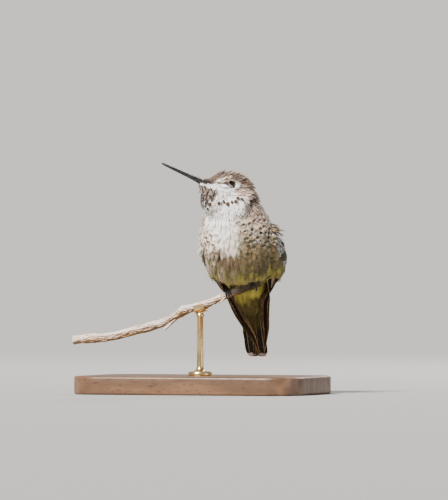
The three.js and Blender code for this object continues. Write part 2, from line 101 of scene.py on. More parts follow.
# studio: a soft sun, a pale sky, two large lamps and a plain floor
studio = {
    "skyColour": (0.88, 0.93, 1.0),
    "skyStrength": 0.46,
    "floorTone": (0.33, 0.33, 0.322),
    "floorSize": 40,  # metres
    "lightAt": (0, -5, 15),  # the place on the bird that the lights face
    "sunTurn": 38,  # degrees to the left of the camera
    "sunRise": 44,
    "sunSpread": 14,
    "sunStrength": 10.5,
    "sunColour": (1.0, 0.965, 0.90),
    "softLights": [
        # name, degrees to the left of the camera, height, distance, size, watts, colour
        ("fill", -62, 60, 900, 500, 1.6, (0.94, 0.97, 1.0)),
        ("rim", -150, 420, 700, 260, 4.0, (1.0, 0.96, 0.90)),
    ],
}


def litFrom(turn, rise):
    # the direction towards a light, turned to the left of the camera
    bearing = math.radians(view["azimuth"] - turn)
    up = math.radians(rise)
    return Vector((math.sin(bearing) * math.cos(up), -math.cos(bearing) * math.cos(up), math.sin(up)))


def addLight(name, kind, place, towards, settings):
    data = bpy.data.lights.new(name, kind)
    for key, value in settings.items():
        setattr(data, key, value)
    light = bpy.data.objects.new(name, data)
    bpy.context.collection.objects.link(light)
    light.location = place
    light.rotation_euler = (towards - place).to_track_quat("-Z", "Y").to_euler()


def makeLights():
    bird = Vector(toScene(studio["lightAt"]))
    sun = litFrom(studio["sunTurn"], studio["sunRise"])
    settings = {"energy": studio["sunStrength"], "color": studio["sunColour"]}
    settings["angle"] = math.radians(studio["sunSpread"])
    addLight("sun", "SUN", bird + sun, bird, settings)
    for name, turn, height, away, size, watts, colour in studio["softLights"]:
        place = bird + litFrom(turn, 0) * away * mm + Vector((0, 0, height * mm))
        settings = {"shape": "DISK", "size": size * mm, "energy": watts, "color": colour}
        addLight(name, "AREA", place, bird, settings)


def makeSky():
    # the backdrop shows the tone that the far floor has, so that no horizon stands out
    sun = litFrom(studio["sunTurn"], studio["sunRise"])
    lit = np.array(studio["skyColour"]) * studio["skyStrength"]
    lit = lit + np.array(studio["sunColour"]) * studio["sunStrength"] * sun.z / math.pi
    world = bpy.data.worlds.new("studio")
    world.use_nodes = True
    tree = world.node_tree
    sky = tree.nodes["Background"]
    sky.inputs["Color"].default_value = (*studio["skyColour"], 1)
    sky.inputs["Strength"].default_value = studio["skyStrength"]
    backdrop = tree.nodes.new("ShaderNodeBackground")
    backdrop.inputs["Color"].default_value = (*(lit * studio["floorTone"]), 1)
    seen = tree.nodes.new("ShaderNodeLightPath")
    either = tree.nodes.new("ShaderNodeMixShader")
    tree.links.new(seen.outputs["Is Camera Ray"], either.inputs[0])
    tree.links.new(sky.outputs[0], either.inputs[1])
    tree.links.new(backdrop.outputs[0], either.inputs[2])
    tree.links.new(either.outputs[0], tree.nodes["World Output"].inputs["Surface"])
    bpy.context.scene.world = world


def makeFloor():
    bm = bmesh.new()
    bmesh.ops.create_grid(bm, x_segments=2, y_segments=2, size=studio["floorSize"])
    mesh = meshFrom(bm, "floor", smooth=False)
    floor = bpy.data.objects.new("floor", mesh)
    bpy.context.collection.objects.link(floor)
    material, n, principled = newMaterial("floorPaper", {"Roughness": 1.0, "Specular IOR Level": 0.0})
    n.put(principled, "Base Color", studio["floorTone"])
    mesh.materials.append(material)


# small tools for pieces and materials
def addPiece(mesh, slot, material, replacing=()):
    piece = bpy.data.objects.new(mesh.name, mesh)
    bpy.context.collection.objects.link(piece)
    mesh.materials.append(material)
    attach(piece, "root")
    if replacing:
        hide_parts(*replacing)
    return piece


def meshFrom(bm, name, smooth=True):
    mesh = bpy.data.meshes.new(name)
    bm.to_mesh(mesh)
    bm.free()
    if smooth:
        mesh.shade_smooth()
    return mesh


def joinedMesh(meshes, name):
    bm = bmesh.new()
    for mesh in meshes:
        bm.from_mesh(mesh)
        bpy.data.meshes.remove(mesh)
    return meshFrom(bm, name)


def applied(mesh, modifiers):
    # a mesh after its modifiers, given as (type, settings)
    holder = bpy.data.objects.new("holder", mesh)
    bpy.context.collection.objects.link(holder)
    for kind, settings in modifiers:
        modifier = holder.modifiers.new(kind.lower(), kind)
        for key, value in settings.items():
            setattr(modifier, key, value)
    graph = bpy.context.evaluated_depsgraph_get()
    result = bpy.data.meshes.new_from_object(holder.evaluated_get(graph))
    bpy.data.objects.remove(holder)
    return result


def coordinates(mesh):
    flat = np.empty(len(mesh.vertices) * 3)
    mesh.vertices.foreach_get("co", flat)
    return flat.reshape(-1, 3)


def setCoordinates(mesh, points):
    mesh.vertices.foreach_set("co", np.asarray(points, np.float32).ravel())
    mesh.update()


def placeVerts(bm, points):
    for vert, co in zip(bm.verts, toScene(points)):
        vert.co = co


def surfaceTree(mesh):
    corners = [polygon.vertices[:] for polygon in mesh.polygons]
    return BVHTree.FromPolygons([vert.co for vert in mesh.vertices], corners)


def pointTree(points):
    tree = kdtree.KDTree(len(points))
    for i, point in enumerate(points):
        tree.insert(point, i)
    tree.balance()
    return tree


def paint(mesh, name, colours):
    layer = mesh.attributes.new(name, "FLOAT_COLOR", "POINT")
    rgba = np.ones((len(mesh.vertices), 4), np.float32)
    rgba[:, :3] = colours
    layer.data.foreach_set("color", rgba.ravel())


def weigh(mesh, name, values):
    # a value on each vertex; one value may stand for all
    layer = mesh.attributes.new(name, "FLOAT", "POINT")
    values = np.broadcast_to(np.asarray(values, np.float32), len(mesh.vertices))
    layer.data.foreach_set("value", np.ascontiguousarray(values))


def curveThrough(points):
    # uniform Catmull-Rom through the points, ends carried on straight
    points = np.asarray(points, float)
    ends = np.vstack([2 * points[0] - points[1], points, 2 * points[-1] - points[-2]])
    last = len(points) - 1

    def at(share):
        place = np.clip(np.asarray(share, float), 0, 1) * last
        i = np.minimum(place.astype(int), last - 1)
        t = (place - i)[..., None]
        a, b, c, d = ends[i], ends[i + 1], ends[i + 2], ends[i + 3]
        square = 2 * a - 5 * b + 4 * c - d
        cube = 3 * b - a - 3 * c + d
        return 0.5 * (2 * b + (c - a) * t + square * t**2 + cube * t**3)

    return at


class Nodes:
    # a thin hand for wiring one node tree
    def __init__(self, tree):
        self.tree = tree

    def add(self, kind, settings=None, **inputs):
        node = self.tree.nodes.new("ShaderNode" + kind)
        for key, value in (settings or {}).items():
            setattr(node, key, value)
        for key, value in inputs.items():
            self.put(node, key, value)
        return node

    def put(self, node, key, value):
        socket = node.inputs[key]
        if hasattr(value, "is_output"):
            self.tree.links.new(value, socket)
        elif hasattr(value, "outputs"):
            self.tree.links.new(value.outputs[0], socket)
        elif isinstance(value, (tuple, list)) and len(value) == 3 and socket.type == "RGBA":
            socket.default_value = (*value, 1)
        else:
            socket.default_value = value

    def maths(self, operation, first, second=0.0, clamp=False):
        node = self.add("Math", {"operation": operation, "use_clamp": clamp})
        self.put(node, 0, first)
        self.put(node, 1, second)
        return node.outputs[0]

    def plus(self, first, second):
        return self.maths("ADD", first, second)

    def minus(self, first, second):
        return self.maths("SUBTRACT", first, second)

    def times(self, first, second, clamp=False):
        return self.maths("MULTIPLY", first, second, clamp)

    def mix(self, share, first, second, mode="MIX"):
        node = self.add("Mix", {"data_type": "RGBA", "blend_type": mode})
        self.put(node, 0, share)
        self.put(node, 6, first)  # the colour sockets come after those for values and vectors
        self.put(node, 7, second)
        return node.outputs[2]

    def ramp(self, value, *stops):
        node = self.add("ValToRGB", Fac=value)
        elements = node.color_ramp.elements
        while len(elements) < len(stops):
            elements.new(0.5)
        for element, (place, colour) in zip(elements, stops):
            element.position = place
            element.color = (*colour, 1) if isinstance(colour, tuple) else (colour, colour, colour, 1)
        return node.outputs[0]

    def place(self):
        return self.add("TexCoord").outputs["Object"]

    def value(self, name, output="Fac"):
        return self.add("Attribute", {"attribute_name": name}).outputs[output]

    def noise(self, place, scale, detail, roughness=0.5, **more):
        node = self.add("TexNoise", Vector=place, Scale=scale, Detail=detail, Roughness=roughness, **more)
        return node.outputs["Fac"]

    def relief(self, principled, strength, depth, height):
        self.put(principled, "Normal", self.add("Bump", Strength=strength, Distance=depth, Height=height))


def newMaterial(name, finish):
    # finish holds the constants of its Principled node
    material = bpy.data.materials.new(name)
    material.use_nodes = True
    n = Nodes(material.node_tree)
    principled = material.node_tree.nodes["Principled BSDF"]
    for key, value in finish.items():
        n.put(principled, key, value)
    return material, n, principled


def newPattern(name, colours, values):
    # a node group that puts out a colour and a height, with its inputs and outputs
    group = bpy.data.node_groups.new(name, "ShaderNodeTree")
    for kind, keys in (("NodeSocketColor", colours), ("NodeSocketFloat", values)):
        for key in keys:
            group.interface.new_socket(key, in_out="INPUT", socket_type=kind)
    group.interface.new_socket("Colour", in_out="OUTPUT", socket_type="NodeSocketColor")
    group.interface.new_socket("Height", in_out="OUTPUT", socket_type="NodeSocketFloat")
    n = Nodes(group)
    source = group.nodes.new("NodeGroupInput").outputs
    result = group.nodes.new("NodeGroupOutput").inputs
    return group, n, source, result


makeCamera()
makeLights()
makeSky()
makeFloor()
print("stage: camera and studio")


# the bird's lie: head frame, spine and the run of the feathers
head = {"turn": 40, "lift": 21.5, "centre": (-1.5, -12.0, 37.3)}
eyeball = {"forward": 2.8, "out": 4.85, "up": 2.25, "radius": 1.8}

turn, lift = math.radians(head["turn"]), math.radians(head["lift"])
headForward = np.array([-math.sin(turn) * math.cos(lift), -math.cos(turn) * math.cos(lift), math.sin(lift)])
headLeft = np.array([math.cos(turn), -math.sin(turn), 0.0])
headUp = np.cross(headForward, headLeft)
headAxes = np.array([headForward, headLeft, headUp])


def inHead(points):
    # forward, left, up of the head's middle
    return (np.asarray(points, float) - head["centre"]) @ headAxes.T


def fromHead(places):
    return np.asarray(places, float) @ headAxes + head["centre"]


def fromEye(points):
    # forward, out and up of the nearer eye's middle
    place = inHead(points)
    place[:, 1] = np.abs(place[:, 1])
    return place - [eyeball["forward"], eyeball["out"], eyeball["up"]]


spine = curveThrough(
    [
        fromHead((12.5, 0, -0.7)),
        fromHead((6, 0, -1)),
        fromHead((-0.5, 0, -1.5)),
        (-1.0, -9.5, 31.5),
        (-0.5, -5.5, 25.0),
        (-0.3, -2.5, 17.5),
        (0, 0.0, 9.5),
        (0, 3.0, 3.5),
        (0, 7.5, -3.5),
        (0, 11.5, -11.5),
    ]
)
spineSteps = 90
spineScale = 95.0  # how much of the spine's share a way past one of its steps stands for
spineShare = np.linspace(0, 1, spineSteps + 1)
spinePoints = spine(spineShare)
spineRun = unit(np.gradient(spinePoints, axis=0))
spineLeft = unit(np.cross(spineRun, mixed((0, 0, 1), (0, 1, 0), smoothstep(0.25, 0.5, spineShare))))
spineLeft *= np.sign(spineLeft @ np.array([1.0, -0.2, 0]))[:, None]
spineBelly = unit(np.cross(spineLeft, spineRun))
spineBelly *= np.sign(spineBelly @ np.array([0, -1.0, -0.6]))[:, None]


def alongBody(points):
    # share down the spine, angle round it (0 on the belly side, positive to the left), distance
    points = np.asarray(points, float)
    nearest = np.empty(len(points), int)
    batch = 20000
    for start in range(0, len(points), batch):
        part = points[start : start + batch]
        gap = ((part[:, None, :] - spinePoints[None]) ** 2).sum(-1)
        nearest[start : start + batch] = gap.argmin(1)
    away = points - spinePoints[nearest]
    run = np.einsum("ij,ij->i", away, spineRun[nearest])
    share = spineShare[nearest] + run / spineScale
    across = np.einsum("ij,ij->i", away, spineLeft[nearest])
    down = np.einsum("ij,ij->i", away, spineBelly[nearest])
    return np.clip(share, 0, 1), np.arctan2(across, down), np.hypot(across, down)


def unwrapped(points):
    # the skin opened along the back and laid flat
    share, angle, _ = alongBody(points)
    return np.column_stack([0.5 + 0.46 * angle / math.pi, 0.03 + 0.94 * share])


def featherRun(points, normals):
    # which way the feathers lie: back over the head, then down the body to the tail
    points = np.asarray(points, float)
    place = inHead(points)
    share, _, _ = alongBody(points)
    body = spineRun[(share * spineSteps).astype(int)]
    fall = np.array([0.0, 0.12, -1.0])
    backward = np.broadcast_to(-headForward + 0.15 * headUp, points.shape)
    overCheek = mixed(backward, 0.62 * fall - 0.38 * headForward, smoothstep(0.5, -3.0, place[:, 2]))
    underChin = smoothstep(-2.2, -3.8, place[:, 2]) * smoothstep(3.5, 6.0, place[:, 0])
    overHead = mixed(overCheek, fall + 0.55 * headForward, underChin)
    run = mixed(body, overHead, smoothstep(0.42, 0.24, share))
    # feathers part round the eye
    away = place - [eyeball["forward"], 0, eyeball["up"]]
    away[:, 1] = 0
    reach = np.linalg.norm(away, axis=1)
    near = smoothstep(3.4, 1.4, reach) * (np.abs(place[:, 1]) > 3)
    run = unit(run) + 0.9 * near[:, None] * (unit(away) @ headAxes)
    normals = unit(normals)
    run = run - normals * np.einsum("ij,ij->i", run, normals)[:, None]
    return unit(run)


# the folded wings' own frame: a sheet from shoulder to tip and from leading to trailing edge
wings = {
    # edges of the folded sheet from shoulder to tip: out from the middle, forward, up
    "front": [(11, 8.6, 25.4), (12.6, 6.4, 17), (11.8, 2.6, 9), (10.6, -2.4, 2.6)],
    "back": [(9, -2.6, 28.2), (13.2, -6.8, 19), (13.2, -9.2, 10), (9.8, -6.8, 3)],
    "leftFront": [(9.2, -6, -3.6), (8.1, -9.2, -10), (7.2, -11.6, -16), (4.2, -15, -24)],
    "leftBack": [(5.2, -5, -4), (3.8, -9.2, -10), (3.6, -11.9, -16), (3.4, -15.2, -23.8)],
    "rightFront": [(8.2, -6, -3.6), (6.6, -9.2, -10), (3.7, -11.6, -16), (-1.7, -15, -24.4)],
    "rightBack": [(4.6, -7.4, -4), (0.8, -9.6, -10), (-2.2, -12, -16), (-2.6, -15.3, -24.2)],
    # where the feathers of the trailing edge lie on the back
    "over": [
        (5.5, -6.5, 28),
        (7.2, -9.6, 19),
        (6.8, -10.4, 10),
        (4.8, -9.6, 3),
        (3.6, -8.6, -4),
        (3.4, -9.6, -10),
    ],
    "bow": 2.9,  # how far the sheet bows out over the body
    "turnIn": 0.16,  # how softly it turns in over the back
    "shell": 0.9,  # how far the wing solid rises over the sheet
    "flankOver": (0.28, 0.86),  # share of the breadth under the flank feathers, at shoulder and wrist
    "rowsFrom": 0.2,  # share of the length where the rows of larger feathers take over
}


def shellRise(along, across):
    # the wing solid's height over the sheet; nothing beyond its end
    share = (along - 0.01) / (0.4 * (1 - 0.12 * np.cos(across * math.pi)))
    ends = np.sqrt(np.maximum(0.1, 1 - (2 * np.clip(share, 0.5, 1) - 1) ** 6))
    crown = np.sqrt(np.maximum(0.06, 1 - np.clip(2 * across - 1, -1, 1) ** 4)) * ends
    return wings["shell"] * crown * smoothstep(1.06, 0.98, share)


def wingSheet(side):
    sign = sides[side]

    def edge(rows):
        return curveThrough([(sign * out, -forward, up) for out, forward, up in rows])

    front = edge(wings["front"] + wings[side + "Front"])
    back = edge(wings["back"] + wings[side + "Back"])
    over = edge(wings["over"] + wings[side + "Back"][-2:])

    def surface(along, across):
        # beyond 1 the sheet turns softly in over the back
        beyond = 0.5 * ((across - 1) + np.hypot(across - 1, wings["turnIn"]))
        point = mixed(front(along), back(along), across - beyond)
        point = point + (over(along) - back(along)) * (2 * beyond)[..., None]
        overBody = np.sin(math.pi * np.clip((along + 0.1) / 0.7, 0, 1))
        point[..., 0] += sign * wings["bow"] * overBody * np.sin(math.pi * np.clip(across, 0, 1))
        return point

    def at(along, across, rise):
        step = 0.004
        a = np.clip(along, step, 1 - step)
        down = surface(a + step, across) - surface(a - step, across)
        around = surface(a, across + step) - surface(a, across - step)
        outward = unit(np.cross(down, around)) * sign
        return surface(along, across) + outward * np.asarray(rise)[..., None]

    def breadth(along):
        return np.linalg.norm(front(along) - back(along), axis=-1)

    return at, breadth


def sheetSamples(side):
    at, _ = wingSheets[side]
    along, across = np.meshgrid(np.linspace(0, 1, 140), np.linspace(-0.1, 1.1, 60), indexing="ij")
    along, across = along.ravel(), across.ravel()
    return pointTree(at(along, across, np.zeros(len(along)))), along, across


wingSheets = {side: wingSheet(side) for side in sides}
wingSamples = {side: sheetSamples(side) for side in sides}


def onWing(points):
    # place on the nearer wing's sheet (along, across) and the distance from it
    along, across, gap = np.empty(len(points)), np.empty(len(points)), np.empty(len(points))
    for i, point in enumerate(points):
        tree, us, vs = wingSamples["left" if point[0] > 0 else "right"]
        _, j, gap[i] = tree.find(point)
        along[i], across[i] = us[j], vs[j]
    return along, across, gap


def wingCover(points):
    # 1 where the skin is the wing's own, behind the flank feathers that lie over its leading edge
    along, across, gap = onWing(points)
    high, low = wings["flankOver"]
    edge = high + (low - high) * smoothstep(0.20, 0.33, along)
    inside = smoothstep(2.6, 1.9, gap) * smoothstep(edge - 0.05, edge + 0.05, across)
    inside = inside * smoothstep(0.01, 0.05, along) * smoothstep(0.52, 0.48, along)
    return inside * smoothstep(1.06, 0.98, across), along, across


# markings, shared by the skin and the coat
tones = {
    "white": (0.88, 0.84, 0.81),
    "cream": (0.68, 0.56, 0.45),
    "buff": (0.50, 0.315, 0.18),
    "pinkBuff": (0.42, 0.245, 0.165),
    "tawny": (0.37, 0.205, 0.115),
    "rust": (0.125, 0.058, 0.030),
    "peat": (0.052, 0.036, 0.012),
    "olive": (0.034, 0.029, 0.012),
    "moss": (0.135, 0.106, 0.020),
    # darker than the plumage's own olive grey: partly painted shade on the low belly
    "oliveGrey": (0.120, 0.084, 0.024),
    "dusky": (0.014, 0.009, 0.0065),
    "brown": (0.075, 0.038, 0.023),
    "bronze": (0.060, 0.066, 0.022),
    "yellowGreen": (0.60, 0.52, 0.08),
    # a pale bluish painted sheen on the wing coverts
    "paintedSheen": (0.56, 0.59, 0.63),
}
tone = {name: np.array(colour) for name, colour in tones.items()}


def blotches(points, scale, seed):
    # soft patches, from 0 to 1
    values = [noise.fractal(Vector(p * scale) + Vector((seed, 0, 0)), 0.9, 2.0, 3) for p in points]
    return smoothstep(-0.35, 0.35, np.array(values))


class Markings:
    # the ground and fringe of the feather at each place, its spot's colour and how strong that is
    def __init__(self, points, ground, fringe, spot, strength=0.0):
        layers = [np.broadcast_to(colour, points.shape) for colour in (ground, fringe, spot)]
        self.ground, self.fringe, self.spot = layers
        self.strength = np.full(len(points), strength)

    def wash(self, mask, colour, ground=0.0, fringe=0.0, spot=0.0):
        # lays a tone over each layer, as strongly as its share says
        colour = tone[colour] if isinstance(colour, str) else colour
        for layer, share in (("ground", ground), ("fringe", fringe), ("spot", spot)):
            if share:
                setattr(self, layer, mixed(getattr(self, layer), colour, share * mask))

    def spotted(self, mask):
        self.strength = np.maximum(self.strength, mask)

    def unspotted(self, mask):
        self.strength = self.strength * (1 - mask)

    def passInto(self, other, share):
        for layer in ("ground", "fringe", "spot"):
            setattr(self, layer, mixed(getattr(self, layer), getattr(other, layer), share))
        self.strength = self.strength * (1 - share) + other.strength * share


# the body's markings; heights are over the feet, and bearings are degrees from the belly's middle,
# positive to the left
markedBody = {
    "bibEnd": 18.3,  # where the white bib ends: in the middle, and how much higher at each side
    "bibLeft": 7.0,
    "bibRight": 5.0,
    "lowTop": 16.5,  # where the olive grey of the low belly ends, and how much higher on the left; its darkness is partly painted shade
    "lowLeft": 5.0,
    "ragged": 3.0,  # how far these edges wander
    "yellowTop": 7.0,  # where the yellow fluff ends
    "backFrom": 0.56,  # how far round the body the green back begins, as a share of half a turn
}


def bodyMarkings(points):
    _, angle, _ = alongBody(points)
    height = points[:, 2]
    left = np.degrees(angle)
    sideways = np.abs(angle) / math.pi
    patch = blotches(points, 0.26, 3.0)
    fine = blotches(points, 0.62, 17.0)
    scattered = blotches(points, 1.6, 5.0)
    wander = height + markedBody["ragged"] * (fine - 0.5)

    # the white bib ends low in the middle and higher at the sides
    bibEnd = markedBody["bibEnd"] + markedBody["bibLeft"] * smoothstep(2, 30, left)
    bibEnd = bibEnd + markedBody["bibRight"] * smoothstep(-18, -48, left)
    bib = smoothstep(bibEnd - 4.5, bibEnd + 3.0, wander) * smoothstep(75, 48, np.abs(left))
    paler = np.maximum(smoothstep(bibEnd - 2.0, bibEnd + 5.0, wander), 0.45 * smoothstep(8, 17, height))
    marks = Markings(points, tone["cream"], tone["cream"], tone["olive"])
    marks.wash(bib, "white", ground=1)
    marks.wash(paler, "white", fringe=1)

    # the low belly: olive grey, mossy to the left, with pale, brown and peaty patches; the olive grey is
    # darker than the plumage alone, partly painted shade on the lower body
    lowTop = markedBody["lowTop"] + markedBody["lowLeft"] * smoothstep(6, 30, left)
    low = smoothstep(lowTop, lowTop - 6.0, height + markedBody["ragged"] * (patch - 0.5))
    marks.wash(low, "oliveGrey", ground=0.97, fringe=0.92)
    marks.wash(low * smoothstep(-25, 30, left), "moss", ground=0.75, fringe=0.55)
    pale = low * smoothstep(0.45, 0.85, patch) * smoothstep(30, 5, left)
    marks.wash(pale, "cream", ground=0.26, fringe=0.26)
    deep = low * smoothstep(0.52, 0.2, patch) * smoothstep(2.0, 6.5, height) * smoothstep(-38, -14, left)
    marks.wash(deep, "brown", ground=0.8)
    marks.wash(deep, "oliveGrey", fringe=0.6)
    smudge = smoothstep(14, 26, left) * smoothstep(74, 56, left) * smoothstep(20, 16, height)
    smudge = smudge * smoothstep(4, 8, height) * smoothstep(0.34, 0.54, blotches(points, 0.45, 41.0))
    marks.wash(smudge, "peat", ground=0.95, fringe=0.72)

    # ovals on the left flank, fainter rusty ones low on the right
    flank = smoothstep(20, 34, left) * smoothstep(31, 27, height)
    marks.wash(flank * smoothstep(8, 14, height), "buff", ground=0.50)
    marks.wash(flank * smoothstep(27, 19, height), "oliveGrey", ground=0.50)
    marks.wash(flank * smoothstep(31, 24, height) * (1 - 0.9 * low), "cream", fringe=0.45)
    marks.spotted(flank * np.maximum(smoothstep(14, 18, height), 0.8 * smoothstep(0.50, 0.60, scattered)))
    right = smoothstep(-12, -22, left) * smoothstep(25, 21, height) * smoothstep(10, 13, height)
    right = right * smoothstep(0.28, 0.38, scattered)
    marks.wash(right, "rust", spot=1)
    marks.spotted(right)
    marks.spotted(0.5 * low * smoothstep(2, 8, height) * smoothstep(0.5, 0.6, scattered))

    # the side of the neck and the shoulder: pinkish buff scales
    sideFrom = 42 + 36 * smoothstep(26, 32, height)
    shoulder = smoothstep(sideFrom, sideFrom + 18, left) * smoothstep(22, 27, height)
    shoulder = np.maximum(shoulder, smoothstep(-46, -62, left) * smoothstep(20, 26, height))
    marks.wash(shoulder, "pinkBuff", ground=0.8)
    marks.wash(shoulder, "cream", fringe=0.8)
    marks.wash(shoulder, "brown", spot=1)
    marks.spotted(0.8 * shoulder)

    # yellow belly fluff; undertail coverts yellow at the root, then peat brown with yellow patches
    fluff = height + 2.5 * (patch - 0.5) - 2.0 * smoothstep(50, 75, left)
    yellow = smoothstep(markedBody["yellowTop"], markedBody["yellowTop"] - 4, fluff)
    yellow = yellow * smoothstep(0.62, 0.5, sideways)
    vent = smoothstep(1.5, -1.5, height) * smoothstep(0.66, 0.5, sideways)
    marks.wash(np.maximum(0.75 * yellow, vent), "yellowGreen", ground=1)
    marks.wash(np.maximum(0.5 * yellow, 0.8 * vent), "yellowGreen", fringe=1)
    marks.unspotted(np.maximum(0.8 * yellow, vent))
    brownish = vent * smoothstep(-2.0, -4.2, height + 2.0 * (fine - 0.5))
    brownish = brownish * (1 - smoothstep(0.48, 0.62, patch) * smoothstep(-7, -9, height))
    marks.wash(brownish, "peat", ground=0.95, fringe=0.78)

    # bronze-green back, scaled with buff
    back = smoothstep(markedBody["backFrom"], markedBody["backFrom"] + 0.1, sideways)
    marks.wash(back, "bronze", ground=1)
    marks.wash(back, 1.5 * tone["bronze"], fringe=1)
    marks.wash(back, "buff", fringe=0.40)
    marks.wash(back, "dusky", spot=0.5)
    marks.unspotted(back)
    marks.spotted(0.3 * back)
    return marks


markedHead = {
    # lines over the side of the head, forward and up of its middle
    "brow": [(-9.0, -0.6), (-5.0, 1.2), (-1.0, 3.0), (1.9, 3.75), (6.2, 2.9), (9.5, -0.1), (13.0, -0.4)],
    "lores": [(2.0, 1.8), (4.2, 1.75), (6.7, 0.8), (9.2, -0.15), (13.8, -1.2)],
    "necklace": [(-7.0, -1.8), (-5.0, -2.2), (0.7, -4.1), (4.5, -6.1), (6.2, -8.0), (8.0, -9.0)],
    # half the height of the dark lores, along the face
    "loresHalf": [(4.0, 0.95), (5.4, 0.45), (8.0, 0.40), (10.0, 0.75), (13.0, 1.0)],
    # the pale streak into the crown: up, and how far forward it is there
    "streak": [(0.5, 6.6), (2.5, 5.0), (4.5, 3.6), (6.0, 2.6)],
    "ear": (-2.5, 0.8),
    "whiteBehindEye": (0.25, 2.3),
    "whiteUnderEye": (2.6, -1.75),  # forward, and up of the eye's middle
}


def lineUp(name, forward):
    places, heights = zip(*markedHead[name])
    return np.interp(forward, places, heights)


def throatMarks(points):
    # the dashed patch under the bill, and the height over the row of ovals below it and the cheek
    forward, left, up = inHead(points).T
    patch = smoothstep(-2.2, -3.0, up) * smoothstep(3.0, 4.2, forward)
    patch = patch * smoothstep(4.6, 3.8, np.abs(left - 0.2)) * smoothstep(32.4, 33.2, points[:, 2])
    return patch, up - lineUp("necklace", forward)


def markCrown(marks, forward, up, overCheek, top, fine):
    # a pale streak up from the lores into the crown, and the buff brow over the eye
    buffed = 0.8 * mixed(tone["tawny"], 0.8 * tone["pinkBuff"], fine)
    buffed = mixed(buffed, tone["cream"], 0.30 * smoothstep(0.6, 0.9, fine))
    marks.wash(top, "brown", ground=0.95)
    marks.wash(top, buffed, fringe=1)
    marks.spotted(0.95 * top)
    streak = smoothstep(0.65, 0.2, np.abs(forward - lineUp("streak", up)))
    streak = streak * smoothstep(0.9, 1.6, up) * smoothstep(6.2, 5.0, up) * overCheek
    marks.wash(streak, "cream", ground=0.85, fringe=0.8)
    brow = smoothstep(0.75, 0.3, np.abs(up - lineUp("brow", forward) + 0.15)) * overCheek
    brow = brow * smoothstep(-3.5, -1.5, forward) * smoothstep(7.4, 5.8, forward)
    marks.wash(brow, "buff", ground=0.85)
    marks.wash(brow, mixed(tone["buff"], tone["cream"], fine), fringe=0.9)
    marks.unspotted(np.maximum(brow, streak))


def markFace(marks, forward, up, aside, overCheek, fine):
    # ear patch, dark lores, the brown ring round the eye and the white under and behind it
    back, high = markedHead["ear"]
    ear = smoothstep(3.6, 1.8, np.hypot((forward - back) * 0.8, (up - high) * 1.25)) * overCheek
    marks.wash(ear, mixed(tone["pinkBuff"], tone["brown"], fine), ground=0.85)
    marks.wash(ear, "pinkBuff", fringe=0.75)
    wide = lineUp("loresHalf", forward)
    lores = smoothstep(wide + 0.15, wide - 0.25, np.abs(up - lineUp("lores", forward)))
    lores = lores * smoothstep(3.4, 4.4, forward)
    browner = smoothstep(4.8, 5.8, forward) * smoothstep(10.0, 8.6, forward)
    marks.wash(lores, mixed(tone["dusky"], tone["brown"], browner), ground=1, fringe=0.95)
    reach = np.hypot((forward - eyeball["forward"]) * 0.88, up - eyeball["up"])
    ring = smoothstep(2.5, 1.75, reach) * (aside > 3)
    marks.wash(ring, "brown", ground=0.55, fringe=0.3)
    middle, down = markedHead["whiteUnderEye"]
    under = smoothstep(0.55, 0.2, np.abs(up - eyeball["up"] - down))
    under = under * smoothstep(1.9, 1.2, np.abs(forward - middle))
    marks.wash(under * overCheek, "white", ground=0.8, fringe=0.8)
    back, high = markedHead["whiteBehindEye"]
    behind = smoothstep(1.15, 0.6, np.hypot(forward - back, (up - high) * 0.9)) * overCheek
    marks.wash(behind, "white", ground=1, fringe=1)
    marks.unspotted(np.maximum(behind, 0.8 * under))


def headMarkings(points):
    forward, left, up = inHead(points).T
    aside = np.abs(left)
    fine = blotches(points, 0.9, 29.0)
    line = lineUp("brow", forward)
    overCheek = smoothstep(1.2, 3.0, aside)
    # the crown reaches down to the brow line; on the forehead it comes to the bill's sides
    forehead = 0.9 * smoothstep(6.2, 8.2, forward)
    top = smoothstep(line - 0.1, line + 0.9, up + forehead)
    slant = 0.25 * np.maximum(up - 1.0, 0) + 0.12 * np.minimum(up, 0)
    top = np.maximum(top, smoothstep(-4.4, -6.4, forward + slant))
    marks = Markings(points, tone["white"], tone["white"], tone["dusky"])
    markCrown(marks, forward, up, overCheek, top, fine)
    markFace(marks, forward, up, aside, overCheek, fine)

    # dashes on the throat and a loose row of spots under the cheek
    throat, over = throatMarks(points)
    marks.wash(throat, "brown", ground=0.95)
    marks.wash(throat, "buff", fringe=0.45)
    row = smoothstep(1.9, 1.4, np.abs(over)) * (1 - top) * smoothstep(0.12, 0.20, fine)
    marks.spotted(np.maximum(throat, row))
    marks.wash(np.maximum(0.5 * row, 0.3 * throat), "brown", spot=1)
    return marks


def wingMarkings(points, along, across):
    # bronze coverts, dusky further down, buff at the leading edge, with a pale strip of painted sheen
    fore = smoothstep(0.75, 0.5, across)
    fringe = mixed(tone["bronze"], tone["buff"], 0.35 + 0.50 * fore)
    marks = Markings(points, tone["bronze"], fringe, tone["dusky"], 0.25)
    marks.wash(smoothstep(0.2, 0.4, along), "dusky", ground=0.6)
    marks.wash(fore, 0.6 * tone["brown"], ground=0.7)
    paintedSheenStrip = smoothstep(0.08, 0.12, along) * smoothstep(0.26, 0.34, across) * smoothstep(0.66, 0.50, across)
    marks.wash(paintedSheenStrip, "paintedSheen", ground=0.25, fringe=0.75)
    return marks


def markings(points):
    points = np.asarray(points, float)
    share, _, _ = alongBody(points)
    cover, along, across = wingCover(points)
    marks = bodyMarkings(points)
    marks.passInto(headMarkings(points), smoothstep(0.38, 0.28, share))
    marks.passInto(wingMarkings(points, along, across), cover)
    return marks


